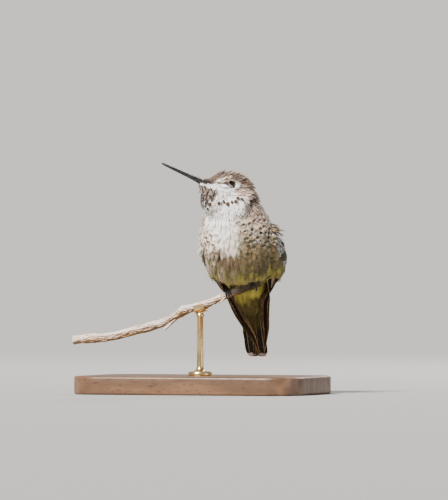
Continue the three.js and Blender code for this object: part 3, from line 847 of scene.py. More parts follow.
# one skin in place of the flesh solids, inside them by the coat's depth
skinSettings = {
    "nodes": ["head", "neck", "trunk", "rump", "wing_left", "wing_right", "leg_left", "leg_right"],
    "bridge": 0.22,  # how far each solid swells to close the thin cuts
    "voxel": 0.36,
    "smoothing": 22,
    "headDepth": 0.55,  # how deep the skin lies under the feathers' tips on the head,
    "bodyDepth": 0.75,  # how much deeper on the body,
    "ventDepth": -0.35,  # and how much less deep again under the tail
    "wingDepth": 0.45,
}
lids = {
    "long": 1.48,  # half the opening's length and height
    "high": 0.66,
    "tilt": 8,  # degrees, the rear corner lower
    "rim": 0.14,  # the lid's thickness at its edge
    "broad": 0.42,  # how broad the bare rim is
    "skinGap": 0.12,  # from the opening to the edge of the skin's own lids
    "coatGap": 0.26,  # from the opening to the first feathers
    "blend": (1.35, 2.9),  # where the lids' swelling passes into the face
    "behind": -2.5,  # places deeper in the head than this have nothing to do with the eye
}


def fromLids(points):
    # along and above the eye's middle in the opening's own tilt, and how far outwards
    place = fromEye(points)
    tilt = math.radians(lids["tilt"])
    along = place[:, 0] * math.cos(tilt) + place[:, 2] * math.sin(tilt)
    above = place[:, 2] * math.cos(tilt) - place[:, 0] * math.sin(tilt)
    return along, above, place[:, 1]


def overLids(along, above, gap):
    # 1 at the edge of the almond opening, grown by a gap
    return np.hypot(along / (lids["long"] + gap), above / (lids["high"] + gap))


def aroundEyes(points):
    # the skin swells over each eyeball as lids, and sinks behind the ball in the opening
    along, above, out = fromLids(points)
    reach = np.hypot(along, above)
    near = (reach < lids["blend"][1]) & (out > lids["behind"])
    inHeadPlace = inHead(points[near])
    cap = np.sqrt(np.maximum((eyeball["radius"] + 0.06) ** 2 - np.minimum(reach[near], 1.7) ** 2, 0.1))
    inside = overLids(along[near], above[near], lids["skinGap"]) < 1
    cap = eyeball["out"] + cap - np.where(inside, 0.5, 0.0)
    share = smoothstep(*lids["blend"], reach[near])
    goal = cap * (1 - share) + np.abs(inHeadPlace[:, 1]) * share
    inHeadPlace[:, 1] = np.sign(inHeadPlace[:, 1]) * goal
    points = points.copy()
    points[near] = fromHead(inHeadPlace)
    return points


def wingGap(side):
    mesh = nodes["wing_" + side].data
    tree = surfaceTree(mesh)
    return lambda points: np.array([tree.find_nearest(Vector(p))[3] for p in toScene(points)]) / mm


nearWing = {side: wingGap(side) for side in sides}


def coatDepth(points):
    # how deep the skin lies under the tips of the feathers: shallow on the face, crown and lids
    forward, _, up = inHead(points).T
    share, _, _ = alongBody(points)
    depth = skinSettings["headDepth"] + skinSettings["bodyDepth"] * smoothstep(0.22, 0.42, share)
    depth = depth + skinSettings["ventDepth"] * smoothstep(0.86, 0.98, share)
    depth = depth * (1 - 0.55 * smoothstep(5.5, 9.5, forward))
    crown = smoothstep(3.0, 6.5, up) * smoothstep(5.5, 0.5, forward) * smoothstep(0.34, 0.26, share)
    depth = depth - 0.25 * crown
    eyeGap = np.linalg.norm(fromEye(points), axis=1)
    depth = depth * (0.25 + 0.75 * smoothstep(2.2, 4.0, eyeGap))
    wing = np.minimum(nearWing["left"](points), nearWing["right"](points))
    return np.where(wing < 0.9, skinSettings["wingDepth"], depth)


def largestIsland(mesh):
    # drops the small closed shells that the remesh leaves inside
    bm = bmesh.new()
    bm.from_mesh(mesh)
    bm.verts.ensure_lookup_table()
    seen, largest = set(), []
    for vert in bm.verts:
        if vert.index in seen:
            continue
        island, waiting = [], [vert]
        seen.add(vert.index)
        while waiting:
            current = waiting.pop()
            island.append(current)
            for edge in current.link_edges:
                other = edge.other_vert(current)
                if other.index not in seen:
                    seen.add(other.index)
                    waiting.append(other)
        if len(island) > len(largest):
            largest = island
    kept = set(largest)
    bmesh.ops.delete(bm, geom=[v for v in bm.verts if v not in kept], context="VERTS")
    bm.to_mesh(mesh)
    bm.free()
    return mesh


def swollenNode(name):
    # a copy of a solid, welded and swollen a little
    bm = bmesh.new()
    bm.from_mesh(nodes[name].data)
    bmesh.ops.remove_doubles(bm, verts=bm.verts, dist=1e-6)
    bmesh.ops.recalc_face_normals(bm, faces=bm.faces)
    for vert in bm.verts:
        vert.normal_update()
    for vert in bm.verts:
        vert.co += vert.normal * skinSettings["bridge"] * mm
    return meshFrom(bm, name + "Swollen")


def makeSkin():
    solid = joinedMesh([swollenNode(name) for name in skinSettings["nodes"]], "solid")
    remesh = {"mode": "VOXEL", "voxel_size": skinSettings["voxel"] * mm, "use_smooth_shade": True}
    smooth = {"factor": 0.5, "iterations": skinSettings["smoothing"]}
    skin = largestIsland(applied(solid, [("REMESH", remesh), ("SMOOTH", smooth)]))
    normals = np.empty(len(skin.vertices) * 3)
    skin.vertices.foreach_get("normal", normals)
    points = toBird(coordinates(skin))
    inward = coatDepth(points) + skinSettings["bridge"]
    setCoordinates(skin, toScene(points - normals.reshape(-1, 3) * inward[:, None]))
    skin = applied(skin, [("SMOOTH", {"factor": 0.5, "iterations": 4})])
    setCoordinates(skin, toScene(aroundEyes(toBird(coordinates(skin)))))
    skin.name = "skin"
    return skin


skinMesh = makeSkin()
skinPoints = toBird(coordinates(skinMesh))
skinTree = surfaceTree(skinMesh)
print("skin:", len(skinMesh.vertices), "points")


# feathers of the coat: vanes with loose barbs, laid along the skin
coats = {
    # spacing, length and width of the feathers, how far the tip stands over the skin, loose barbs,
    # and their cells across, cells along and barbs to an edge
    "face": {"spacing": 0.46, "length": 1.2, "width": 0.55, "tip": 0.24, "loose": 0.32, "make": (2, 3, 2)},
    "crown": {"spacing": 0.82, "length": 2.8, "width": 1.15, "tip": 1.2, "loose": 0.24, "make": (3, 4, 2)},
    "throat": {"spacing": 0.74, "length": 2.3, "width": 1.10, "tip": 0.52, "loose": 0.26, "make": (3, 4, 2)},
    "gorget": {"spacing": 1.30, "length": 3.1, "width": 1.75, "tip": 0.55, "loose": 0.24, "make": (3, 4, 2)},
    "breast": {"spacing": 1.30, "length": 4.0, "width": 2.3, "tip": 0.75, "loose": 0.42, "make": (3, 4, 3)},
    "flank": {"spacing": 1.75, "length": 4.6, "width": 3.0, "tip": 0.95, "loose": 0.26, "make": (4, 4, 2)},
    "belly": {"spacing": 1.30, "length": 4.9, "width": 2.4, "tip": 1.20, "loose": 0.56, "make": (3, 4, 3)},
    "back": {"spacing": 1.35, "length": 3.6, "width": 2.3, "tip": 0.85, "loose": 0.16, "make": (4, 4, 2)},
    "vent": {"spacing": 1.20, "length": 5.4, "width": 3.0, "tip": 0.80, "loose": 0.44, "make": (3, 4, 3)},
    "ruffled": {"spacing": 1.25, "length": 3.4, "width": 2.1, "tip": 1.90, "loose": 0.20, "make": (4, 4, 2)},
    "wing": {"spacing": 1.05, "length": 2.8, "width": 1.8, "tip": 0.40, "loose": 0.10, "make": (4, 4, 1)},
}
coatNames = list(coats)
scatter = {
    "seed": 13,
    "tries": 90000,  # places tried over the whole skin
    "shapes": 4,  # how many vanes each coat is cut from
    "steps": 5,  # from a feather's root to its tip
    "patch": 0.0015,  # half the side of a feather's patch on the bake map
}


def between(values, low, high):
    return (values > low) & (values < high)


def coatZone(points):
    # the coat that each place wears; bare where the wings' own rows of feathers lie
    forward, aside, up = inHead(points).T
    share, angle, _ = alongBody(points)
    left = np.degrees(angle)
    sideways = np.abs(angle) / math.pi
    height = points[:, 2]
    number = {name: coatNames.index(name) for name in coatNames}
    zone = np.full(len(points), number["breast"])
    zone[(left > 24) & (height < 33)] = number["flank"]
    zone[(left < -55) | (left < -14) & (height < 25)] = number["flank"]
    zone[(height < 12.5) & (sideways < 0.42)] = number["belly"]
    zone[(height < 9) & (sideways < 0.60)] = number["belly"]
    zone[sideways > 0.60] = number["back"]
    zone[(height < 1.2) & (sideways < 0.66)] = number["vent"]
    cover, along, across = wingCover(points)
    onLeft = points[:, 0] > 0
    zone[cover > 0.5] = number["wing"]
    edge = between(height, 13, 25) & (along < 0.24) & between(across, -0.1, 0.55)
    zone[edge & (left < -55) & ~onLeft] = number["ruffled"]
    zone[(cover > 0.5) & (along < 0.08) & between(across, 0.3, 0.9) & onLeft] = number["ruffled"]
    onHead = share < 0.31
    zone[onHead] = number["crown"]
    low = up < lineUp("brow", forward) - 2.6
    zone[onHead & low & (forward > -6)] = number["throat"]
    patch, over = throatMarks(points)
    row = between(over, -1.0, 2.8) & between(forward, -6, 7.5) & low
    zone[onHead & ((patch > 0.5) | row)] = number["gorget"]
    nearEye = np.hypot(forward - eyeball["forward"], up - eyeball["up"]) < 3.2
    small = (forward > 7.2) & (up > -1.9) | nearEye & (np.abs(aside) > 3)
    zone[onHead & small] = number["face"]
    bare = (cover > 0.5) & (along > wings["rowsFrom"])
    return zone, bare


def vaneShape(coat, seed):
    # one small feather: across, along and faces, with loose barbs at the margin
    rng = random.Random(seed)
    loose = coat["loose"]
    cells, rows, barbs = coat["make"]
    bm = bmesh.new()
    bmesh.ops.create_grid(bm, x_segments=cells, y_segments=rows, size=1)
    for vert in bm.verts:
        x, y = vert.co.x, (vert.co.y + 1) / 2
        wide = math.sqrt(math.sin(math.pi * (0.07 + 0.80 * y)))
        vert.co = (x * wide * (1 - 0.45 * loose), y * (1 - 0.20 * x * x) * (1 - 0.50 * loose), 0)
    edge = [v.co.copy() for v in bm.verts if v.is_boundary and v.co.y > 0.2]
    edge.sort(key=lambda co: math.atan2(co.x, co.y - 0.4))
    for first, second in zip(edge, edge[1:]):
        for k in range(barbs):
            low = first.lerp(second, k / barbs + rng.uniform(-0.05, 0.05))
            high = first.lerp(second, (k + 1.15) / barbs)
            middle = (low + high) / 2
            out = Vector((middle.x * 0.55, 0.32 + 0.5 * middle.y, 0)).normalized()
            reach = loose * rng.uniform(0.5, 1.2) * (0.6 + 0.5 * middle.y)
            tip = middle + out * reach + Vector((rng.uniform(-0.09, 0.09), 0, 0))
            inner = Vector((0, 0.06, 0))
            corners = [bm.verts.new(co) for co in (low - inner, tip, high - inner)]
            bm.faces.new(corners)
    bmesh.ops.recalc_face_normals(bm, faces=bm.faces)
    bmesh.ops.triangulate(bm, faces=bm.faces)
    bm.verts.index_update()
    for face in bm.faces:
        if face.normal.z < 0:
            face.normal_flip()
    shape = np.array([v.co[:2] for v in bm.verts])
    faces = np.array([[v.index for v in face.verts] for face in bm.faces])
    bm.free()
    return shape, faces


def spreadRoots():
    # places over the skin, no two nearer than their coat's spacing
    skinMesh.calc_loop_triangles()
    triangles = np.empty(len(skinMesh.loop_triangles) * 3, np.int32)
    skinMesh.loop_triangles.foreach_get("vertices", triangles)
    corners = skinPoints[triangles.reshape(-1, 3)]
    edges = np.cross(corners[:, 1] - corners[:, 0], corners[:, 2] - corners[:, 0])
    area = np.linalg.norm(edges, axis=1) / 2
    rng = np.random.default_rng(scatter["seed"])
    count = scatter["tries"]
    pick = rng.choice(len(area), count, p=area / area.sum())
    a, b = rng.random(count), rng.random(count)
    fold = a + b > 1
    a[fold], b[fold] = 1 - a[fold], 1 - b[fold]
    c = corners[pick]
    points = c[:, 0] + a[:, None] * (c[:, 1] - c[:, 0]) + b[:, None] * (c[:, 2] - c[:, 0])
    normals = unit(edges[pick])
    zone, bare = coatZone(points)
    points, normals, zone = points[~bare], normals[~bare], zone[~bare]
    spacing = np.array([coats[name]["spacing"] for name in coatNames])[zone]
    tree = pointTree(points)
    taken = np.zeros(len(points), bool)
    kept = []
    for i in range(len(points)):
        if taken[i]:
            continue
        kept.append(i)
        for _, j, _ in tree.find_range(points[i], spacing[i]):
            taken[j] = True
    kept = np.array(kept)
    return points[kept], normals[kept], zone[kept]


def ontoSkin(points):
    found = [skinTree.find_nearest(Vector(p)) for p in toScene(points)]
    places = toBird([hit[0] for hit in found])
    normals = np.array([hit[1] for hit in found])
    return places, normals


def shaftPaths(roots, normals, lengths, yaw):
    # each feather's line over the skin, step by step, with its normals and directions
    line, upright, run = [roots], [normals], []
    direction = featherRun(roots, normals)
    side = np.cross(direction, normals)
    direction = unit(direction * np.cos(yaw)[:, None] + side * np.sin(yaw)[:, None])
    for _ in range(scatter["steps"]):
        run.append(direction)
        ahead = line[-1] + direction * (lengths / scatter["steps"])[:, None]
        ahead, normal = ontoSkin(ahead)
        normal = unit(0.5 * upright[-1] + 0.5 * normal)
        line.append(ahead)
        upright.append(normal)
        turned = 0.55 * direction + 0.45 * featherRun(ahead, normal)
        direction = unit(turned - normal * np.einsum("ij,ij->i", turned, normal)[:, None])
    run.append(direction)
    return np.stack(line, 1), np.stack(upright, 1), np.stack(run, 1)


def sampled(rows, share):
    # rows: feathers x steps x 3; share: feathers x points
    last = rows.shape[1] - 1
    place = np.clip(share, 0, 1) * last
    low = np.minimum(place.astype(int), last - 1)
    part = (place - low)[..., None]
    lines = np.arange(len(rows))[:, None]
    return rows[lines, low] * (1 - part) + rows[lines, low + 1] * part


def laidVanes(shape, widths, lengths, tips, rolls, paths):
    # the points of some feathers of one vane shape, laid along their paths
    across, along = shape[:, 0], shape[:, 1]
    share = np.broadcast_to(along, (len(widths), len(along)))
    centre, over, ahead = [sampled(rows, share) for rows in paths]
    over, ahead = unit(over), unit(ahead)
    side = unit(np.cross(ahead, over))
    width = across[None] * widths[:, None]
    curl = 0.16 * across[None] ** 2 * widths[:, None]
    height = 0.04 + tips[:, None] * along[None] ** 1.15 - curl
    height = height + rolls * width
    spots = centre + side * width[..., None] + over * height[..., None]
    beyond = np.maximum(along - 1, 0)
    return spots + ahead * (beyond[None] * lengths[:, None])[..., None]


def meshOfSheets(name, sheets):
    # joins feathers x points sheets into one mesh with its two maps; owner is each point's feather
    points, polygons, vanes, patches, owner = [], [], [], [], []
    start = 0
    for mine, spots, faces, vane, patch in sheets:
        feathers, each = spots.shape[:2]
        points.append(spots.reshape(-1, 3))
        offset = start + np.arange(feathers)[:, None, None] * each
        polygons.append((faces[None] + offset).reshape(-1, 3))
        vanes.append(np.tile(vane, (feathers, 1)))
        patches.append(patch.reshape(-1, 2))
        owner.append(np.repeat(mine, each))
        start += feathers * each
    corners = np.concatenate(polygons).ravel()
    mesh = bpy.data.meshes.new(name)
    mesh.vertices.add(start)
    mesh.vertices.foreach_set("co", toScene(np.concatenate(points)).astype(np.float32).ravel())
    mesh.loops.add(len(corners))
    mesh.loops.foreach_set("vertex_index", corners.astype(np.int32))
    mesh.polygons.add(len(corners) // 3)
    mesh.polygons.foreach_set("loop_start", np.arange(0, len(corners), 3, dtype=np.int32))
    mesh.update(calc_edges=True)
    for layer, values in (("OFBake", patches), ("Vane", vanes)):
        uv = mesh.uv_layers.new(name=layer)
        uv.data.foreach_set("uv", np.concatenate(values)[corners].astype(np.float32).ravel())
    mesh.shade_smooth()
    return mesh, np.concatenate(owner)


def coatMesh(name, coat, roots, normals, seed):
    rng = np.random.default_rng(seed)
    count = len(roots)
    longer, wider, taller, yaw, loose = rng.normal(0, 1, (5, count))
    lengths = coat["length"] * (1 + 0.10 * longer)
    widths = coat["width"] * (1 + 0.08 * wider) / 2
    ruffle = 0.16 + 0.9 * coat["loose"] * (loose > 0.8)
    tips = coat["tip"] * (1 + ruffle * taller)
    paths = shaftPaths(roots, normals, lengths, 0.11 * yaw)
    shapes = [vaneShape(coat, seed + k) for k in range(scatter["shapes"])]
    which = rng.integers(0, scatter["shapes"], count)
    marks = markings(paths[0][:, 3])
    lot = rng.random(count)
    sheets = []
    for k, (shape, faces) in enumerate(shapes):
        mine = np.flatnonzero(which == k)
        if len(mine) == 0:
            continue
        rolls = 0.10 * rng.normal(0, 1, (len(mine), 1))
        ownPaths = [rows[mine] for rows in paths]
        spots = laidVanes(shape, widths[mine], lengths[mine], tips[mine], rolls, ownPaths)
        across, along = shape[:, 0], shape[:, 1]
        vane = np.column_stack([0.5 + 0.5 * across, along])
        patch = scatter["patch"] * np.column_stack([across, 2 * along - 1])
        sheets.append((mine, spots, faces, vane, unwrapped(roots[mine])[:, None, :] + patch[None]))
    mesh, owner = meshOfSheets(name, sheets)
    for layer in ("ground", "fringe", "spot"):
        paint(mesh, layer, getattr(marks, layer)[owner])
    weigh(mesh, "strength", marks.strength[owner])
    weigh(mesh, "lot", lot[owner])
    return mesh


# feather finishes
featherLooks = {
    # place, half width and half length of the spot on the vane; how dark the painted shade at the root
    # is, where the feathers overlap; depth of the tone between feathers; roughness; sheen; metal
    "plain": {"spot": (0.62, 0.27, 0.20), "root": 0.62, "lots": 0.14, "rough": 0.78, "sheen": 0.15},
    "flank": {"spot": (0.74, 0.38, 0.14), "root": 0.62, "lots": 0.16, "rough": 0.75, "sheen": 0.15},
    "soft": {"spot": (0.73, 0.31, 0.105), "root": 0.90, "lots": 0.06, "rough": 0.85, "sheen": 0.25},
    "dashed": {"spot": (0.64, 0.25, 0.34), "root": 0.80, "lots": 0.10, "rough": 0.80, "sheen": 0.15},
    "barred": {"spot": (0.70, 0.45, 0.38), "root": 0.75, "lots": 0.10, "rough": 0.80, "sheen": 0.10},
    "streaked": {"spot": (0.50, 0.24, 0.48), "root": 0.45, "lots": 0.40, "rough": 0.72, "sheen": 0.12},
    "glossy": {"spot": (0.45, 0.22, 0.35), "root": 0.45, "lots": 0.22, "rough": 0.46, "metal": 0.35},
}
coatLook = {
    "face": "plain",
    "crown": "streaked",
    "throat": "dashed",
    "gorget": "barred",
    "breast": "soft",
    "flank": "flank",
    "belly": "soft",
    "back": "glossy",
    "vent": "soft",
    "ruffled": "flank",
    "wing": "glossy",
}
coatSlots = {"crown": "head_plumage", "face": "head_plumage", "wing": "wing_coverts"}


def vaneGroup():
    # colour and height of one feather from its own across-and-along map
    values = ("Strength", "Lot", "SpotAt", "SpotWide", "SpotLong", "Root", "Lots")
    group, n, source, result = newPattern("vanePattern", ("Ground", "Fringe", "Spot"), values)
    split = n.add("SeparateXYZ", Vector=n.add("UVMap", {"uv_map": "Vane"}))
    across = n.maths("ABSOLUTE", n.minus(split.outputs[0], 0.5))
    along = split.outputs[1]
    wobble = n.times(n.minus(n.noise(n.place(), 1500.0, 3.0), 0.5), 0.8)
    # no two feathers carry quite the same spot
    size = n.plus(n.times(source["Lot"], 0.5), 0.78)
    side = n.maths("DIVIDE", across, n.times(source["SpotWide"], size))
    ahead = n.maths("DIVIDE", n.minus(along, source["SpotAt"]), source["SpotLong"])
    reach = n.maths("SQRT", n.plus(n.times(side, side), n.times(ahead, ahead)))
    spotMask = n.times(n.ramp(n.plus(reach, wobble), (0.72, 1.0), (1.0, 0.0)), source["Strength"])
    margin = n.maths("MAXIMUM", n.times(across, 2.1), n.minus(along, 0.02))
    fringeMask = n.ramp(n.plus(margin, n.times(wobble, 0.3)), (0.62, 0.0), (0.90, 1.0))
    colour = n.mix(fringeMask, source["Ground"], source["Fringe"])
    colour = n.mix(spotMask, colour, source["Spot"])
    # painted shade at the root, where the next feathers overlap it, with fine barbs and a tone of its own
    rootShare = n.ramp(along, (0.05, 1.0), (0.5, 0.0))
    rootShade = n.minus(1.0, n.times(rootShare, n.minus(1.0, source["Root"])))
    colour = n.mix(1.0, colour, rootShade, "MULTIPLY")
    wave = n.maths("SINE", n.times(n.minus(along, n.times(across, 0.9)), 110.0))
    lot = n.times(n.minus(source["Lot"], 0.5), source["Lots"])
    shade = n.plus(n.times(wave, 0.035), n.plus(lot, 0.97))
    shaft = n.ramp(across, (0.0, 1.0), (0.05, 0.0))
    n.tree.links.new(n.mix(1.0, colour, shade, "MULTIPLY"), result["Colour"])
    n.tree.links.new(n.plus(n.times(wave, 0.5), shaft), result["Height"])
    return group


vanePattern = vaneGroup()


def featherMaterial(name, look):
    finish = {"Roughness": look["rough"], "Sheen Weight": look.get("sheen", 0.0)}
    finish["Metallic"] = look.get("metal", 0.0)
    finish["Specular IOR Level"] = 0.3
    material, n, principled = newMaterial(name, finish)
    # the painted shade at each feather's root comes from the look
    pattern = n.add("Group", {"node_tree": vanePattern}, Root=look["root"], Lots=look["lots"])
    for layer in ("ground", "fringe", "spot"):
        n.put(pattern, layer.capitalize(), n.value(layer, "Color"))
    for layer in ("strength", "lot"):
        n.put(pattern, layer.capitalize(), n.value(layer))
    for key, value in zip(("SpotAt", "SpotWide", "SpotLong"), look["spot"]):
        n.put(pattern, key, value)
    n.put(principled, "Base Color", pattern.outputs["Colour"])
    n.relief(principled, 0.35, 0.00004, pattern.outputs["Height"])
    return material


def skinMaterial():
    # the same markings under the coat, a little darker, as down shows between feathers
    material, n, principled = newMaterial("downySkin", {"Roughness": 0.9})
    tuft = n.noise(n.place(), 900.0, 4.0)
    spotted = n.mix(n.times(n.value("strength"), 0.5), n.value("ground", "Color"), n.value("spot", "Color"))
    shade = n.ramp(tuft, (0.3, 0.62), (0.7, 0.95))
    n.put(principled, "Base Color", n.mix(1.0, spotted, shade, "MULTIPLY"))
    n.relief(principled, 0.6, 0.0002, tuft)
    return material


def dressSkin():
    marks = markings(skinPoints)
    paint(skinMesh, "ground", marks.ground)
    paint(skinMesh, "spot", marks.spot)
    weigh(skinMesh, "strength", marks.strength)
    layer = skinMesh.uv_layers.new(name="OFBake")
    vertex = np.empty(len(skinMesh.loops), np.int32)
    skinMesh.loops.foreach_get("vertex_index", vertex)
    layer.data.foreach_set("uv", unwrapped(skinPoints)[vertex].astype(np.float32).ravel())
    addPiece(skinMesh, "plumage", skinMaterial(), skinSettings["nodes"])


def growCoat():
    roots, normals, zones = spreadRoots()
    along, above, out = fromLids(roots)
    clear = (overLids(along, above, lids["coatGap"]) > 1) | (out < lids["behind"])
    roots, normals, zones = roots[clear], normals[clear], zones[clear]
    materials = {name: featherMaterial(name + "Feathers", look) for name, look in featherLooks.items()}
    for number, name in enumerate(coatNames):
        mine = zones == number
        mesh = coatMesh("coat_" + name, coats[name], roots[mine], normals[mine], 100 + 10 * number)
        addPiece(mesh, coatSlots.get(name, "plumage"), materials[coatLook[name]])
        print("coat", name, int(mine.sum()), "feathers", len(mesh.polygons), "faces")


dressSkin()
growCoat()


# flight and tail feathers: a vane each, with a raised shaft and a few parted barbs
quill = {
    "thickness": 0.10,
    "shaftRise": 0.11,
    "parted": 4,  # places where the barbs part
    "droop": 0.22,  # how far the edges fall below the shaft
    "grid": (14, 34),
}


def vaneMaps(bm, across, along, cell):
    # the feather's own map, and its upper face's half of its square of the bake map
    vane = bm.loops.layers.uv.new("Vane")
    patch = bm.loops.layers.uv.new("OFBake")
    bm.verts.index_update()
    left, low, right, high = cell
    for face in bm.faces:
        for loop in face.loops:
            i = loop.vert.index
            u, v = 0.5 + 0.5 * across[i], along[i]
            loop[vane].uv = (u, v)
            loop[patch].uv = (left + (right - left) * 0.5 * u, low + (high - low) * v)


def thickened(bm, cell):
    # gives the sheet its thickness, and its under face the other half of the square
    count, faces = len(bm.verts), len(bm.faces)
    solidify = {"thickness": quill["thickness"] * mm, "offset": 0.0}
    mesh = applied(meshFrom(bm, "vane"), [("SOLIDIFY", solidify)])
    sheet = np.zeros(len(mesh.loops) * 2, np.float32)
    mesh.uv_layers["OFBake"].data.foreach_get("uv", sheet)
    sheet = sheet.reshape(-1, 2)
    corners = np.empty(len(mesh.polygons), np.int32)
    mesh.polygons.foreach_get("loop_start", corners)
    sheet[corners[faces] : corners[2 * faces], 0] += (cell[2] - cell[0]) / 2
    mesh.uv_layers["OFBake"].data.foreach_set("uv", sheet.ravel())
    under = np.zeros(len(mesh.vertices), np.float32)
    under[count : 2 * count] = 1
    weigh(mesh, "under", under)
    return mesh


def bigVane(placeAt, cell, seed, narrow, roundFrom, marks):
    # placeAt(along, across, rise) gives bird millimetres; narrow is the leading side's share;
    # cell is the feather's own square of the bake map; marks are edge, band and tip strengths
    rng = np.random.default_rng(seed)
    bm = bmesh.new()
    columns, rows = quill["grid"]
    bmesh.ops.create_grid(bm, x_segments=columns, y_segments=rows, size=1)
    flat = np.array([v.co[:2] for v in bm.verts])
    across = np.sign(flat[:, 0]) * np.abs(flat[:, 0]) ** 1.5
    along = (flat[:, 1] + 1) / 2
    rounding = np.clip((along - roundFrom) / (1 - roundFrom), 0, 0.985) ** 2.3
    wide = smoothstep(-0.06, 0.14, along) * np.sqrt(1 - rounding)
    edge = np.abs(across)
    for _ in range(quill["parted"]):
        side = rng.choice([-1, 1])
        row = rng.uniform(0.25, 0.97)
        close = np.clip(1 - np.abs(along - row) * rows / 0.9, 0, 1)
        wide = wide * (1 - 0.16 * close * (across * side > 0) * edge)
    wide = wide * (1 + 0.012 * rng.normal(0, 1, len(wide)) * edge)
    shown = across * wide
    shown = np.where(shown < 0, shown * narrow, shown)
    rise = np.clip(1 - edge * 9, 0, 1) * quill["shaftRise"] * (1.15 - along)
    rise = rise - quill["droop"] * edge**2 * wide
    points = placeAt(along, shown, rise)
    placeVerts(bm, points)
    # the upper face is the one that the rise points out of
    middle = len(along) // 2
    outward = placeAt(along, shown, rise + 0.1)[middle] - points[middle]
    bm.normal_update()
    bm.verts.ensure_lookup_table()
    if bm.verts[middle].normal.dot(Vector(outward)) < 0:
        bmesh.ops.reverse_faces(bm, faces=bm.faces)
    vaneMaps(bm, across, along, cell)
    mesh = thickened(bm, cell)
    weigh(mesh, "lot", rng.random())
    for name, strength in zip(("edge", "band", "tip"), marks):
        weigh(mesh, name, strength)
    return mesh


def bakeCell(index, count):
    # a square of the bake map for each feather, with a little room round it
    side = math.ceil(math.sqrt(count))
    column, row = index % side, index // side
    corners = (column + 0.04, row + 0.04, column + 0.96, row + 0.96)
    return [corner / side for corner in corners]


def quillGroup():
    # colour and height of a long feather from its own map: shaft, barbs, worn edge, band and tip
    colours = ("Top", "Under", "Edge", "Shaft", "Band", "Tip")
    group, n, source, result = newPattern("quillPattern", colours, ("BandAt", "TipAt"))
    marks = {name: n.value(name) for name in ("under", "lot", "edge", "band", "tip")}
    split = n.add("SeparateXYZ", Vector=n.add("UVMap", {"uv_map": "Vane"}))
    across = n.maths("ABSOLUTE", n.minus(split.outputs[0], 0.5))
    along = split.outputs[1]
    drift = n.minus(n.noise(n.place(), 420.0, 5.0, 0.65), 0.5)
    colour = n.mix(marks["under"], source["Top"], source["Under"])
    bandAlong = n.plus(along, n.times(drift, 0.10))
    bandMask = n.maths("SMOOTH_MIN", 1.0, n.times(n.minus(bandAlong, source["BandAt"]), 14.0))
    bandMask = n.times(n.maths("MAXIMUM", bandMask, 0.0), marks["band"], clamp=True)
    colour = n.mix(bandMask, colour, source["Band"])
    tipMask = n.times(n.minus(bandAlong, source["TipAt"]), 26.0, clamp=True)
    colour = n.mix(n.times(tipMask, marks["tip"]), colour, source["Tip"])
    margin = n.plus(n.times(across, 2.0), n.times(drift, 0.16))
    edgeMask = n.times(n.ramp(margin, (0.93, 0.0), (0.985, 1.0)), marks["edge"])
    colour = n.mix(edgeMask, colour, source["Edge"])
    slant = n.minus(along, n.times(across, 0.16))
    barbs = n.maths("SINE", n.times(slant, 560.0))
    broad = n.maths("SINE", n.plus(n.times(slant, 90.0), n.times(drift, 9.0)))
    shade = n.plus(n.times(barbs, 0.13), n.times(broad, 0.07))
    shade = n.plus(shade, n.plus(0.84, n.times(marks["lot"], 0.3)))
    colour = n.mix(1.0, colour, shade, "MULTIPLY")
    shaftMask = n.ramp(across, (0.030, 1.0), (0.050, 0.0))
    shaftMask = n.times(shaftMask, n.ramp(along, (0.55, 1.0), (1.0, 0.35)))
    n.tree.links.new(n.mix(shaftMask, colour, source["Shaft"]), result["Colour"])
    n.tree.links.new(n.plus(n.times(barbs, 0.5), n.times(broad, 0.25)), result["Height"])
    return group


quillPattern = quillGroup()


def quillMaterial(name, colours, roughness=0.5, metal=0.0, bandAt=2.0, tipAt=2.0):
    # a band or a tip past 1 isn't there
    finish = {"Roughness": roughness, "Metallic": metal, "Specular IOR Level": 0.1}
    material, n, principled = newMaterial(name, finish)
    pattern = n.add("Group", {"node_tree": quillPattern}, BandAt=bandAt, TipAt=tipAt, **colours)
    n.put(principled, "Base Color", pattern.outputs["Colour"])
    n.relief(principled, 0.4, 0.00003, pattern.outputs["Height"])
    return material


# the folded wings: rows of feathers from the coverts to the long quills
wingRows = {
    # how many, then from the leading to the trailing side: where they root and end (along, across),
    # half width, lift over the shell at root and tip, leading vane's share, edge strength, and the share of
    # the row whose ends carry a pale painted sheen
    "primaries": {
        "count": 10,
        "root": [(0.27, 0.12), (0.27, 0.66)],
        "tip": [(0.995, 0.36), (0.62, 0.80)],
        "bend": 1.25,
        "half": [2.1, 2.3],
        "lift": [(-1.0, 0.02), (-0.8, 0.40)],
        "narrow": 0.42,
        "round": 0.76,
        "edge": [1.0, 0.15],
    },
    "secondaries": {
        "count": 6,
        "root": [(0.26, 0.50), (0.24, 0.98)],
        "tip": [(0.62, 0.64), (0.53, 1.12)],
        "bend": 1.0,
        "half": [2.0, 2.2],
        "lift": [(-0.9, 0.30), (-0.6, 0.35)],
        "narrow": 0.7,
        "round": 0.72,
        "edge": [0.5, 0.8],
    },
    "tertials": {
        "count": 4,
        "root": [(0.17, 0.94), (0.12, 1.34)],
        "tip": [(0.52, 1.10), (0.44, 1.40)],
        "bend": 1.0,
        "half": [1.9, 2.1],
        "lift": [(-0.5, 0.50), (-0.7, 0.75)],
        "narrow": 0.85,
        "round": 0.66,
        "edge": [0.8, 0.8],
    },
    "greater": {
        "count": 8,
        "root": [(0.23, 0.62), (0.19, 1.02)],
        "tip": [(0.42, 0.66), (0.37, 1.04)],
        "bend": 1.0,
        "half": [1.15, 1.3],
        "lift": [(-1.0, 0.12), (-0.9, 0.26)],
        "narrow": 0.9,
        "round": 0.5,
        "paintedSheen": 0.1,
        "edge": [1.0, 1.0],
    },
    "median": {
        "count": 10,
        "root": [(0.16, 0.42), (0.13, 1.02)],
        "tip": [(0.29, 0.46), (0.27, 1.03)],
        "bend": 1.0,
        "half": [1.05, 1.2],
        "lift": [(-0.9, 0.20), (-0.8, 0.32)],
        "narrow": 0.95,
        "round": 0.45,
        "paintedSheen": 0.35,
        "edge": [1.0, 1.0],
    },
}
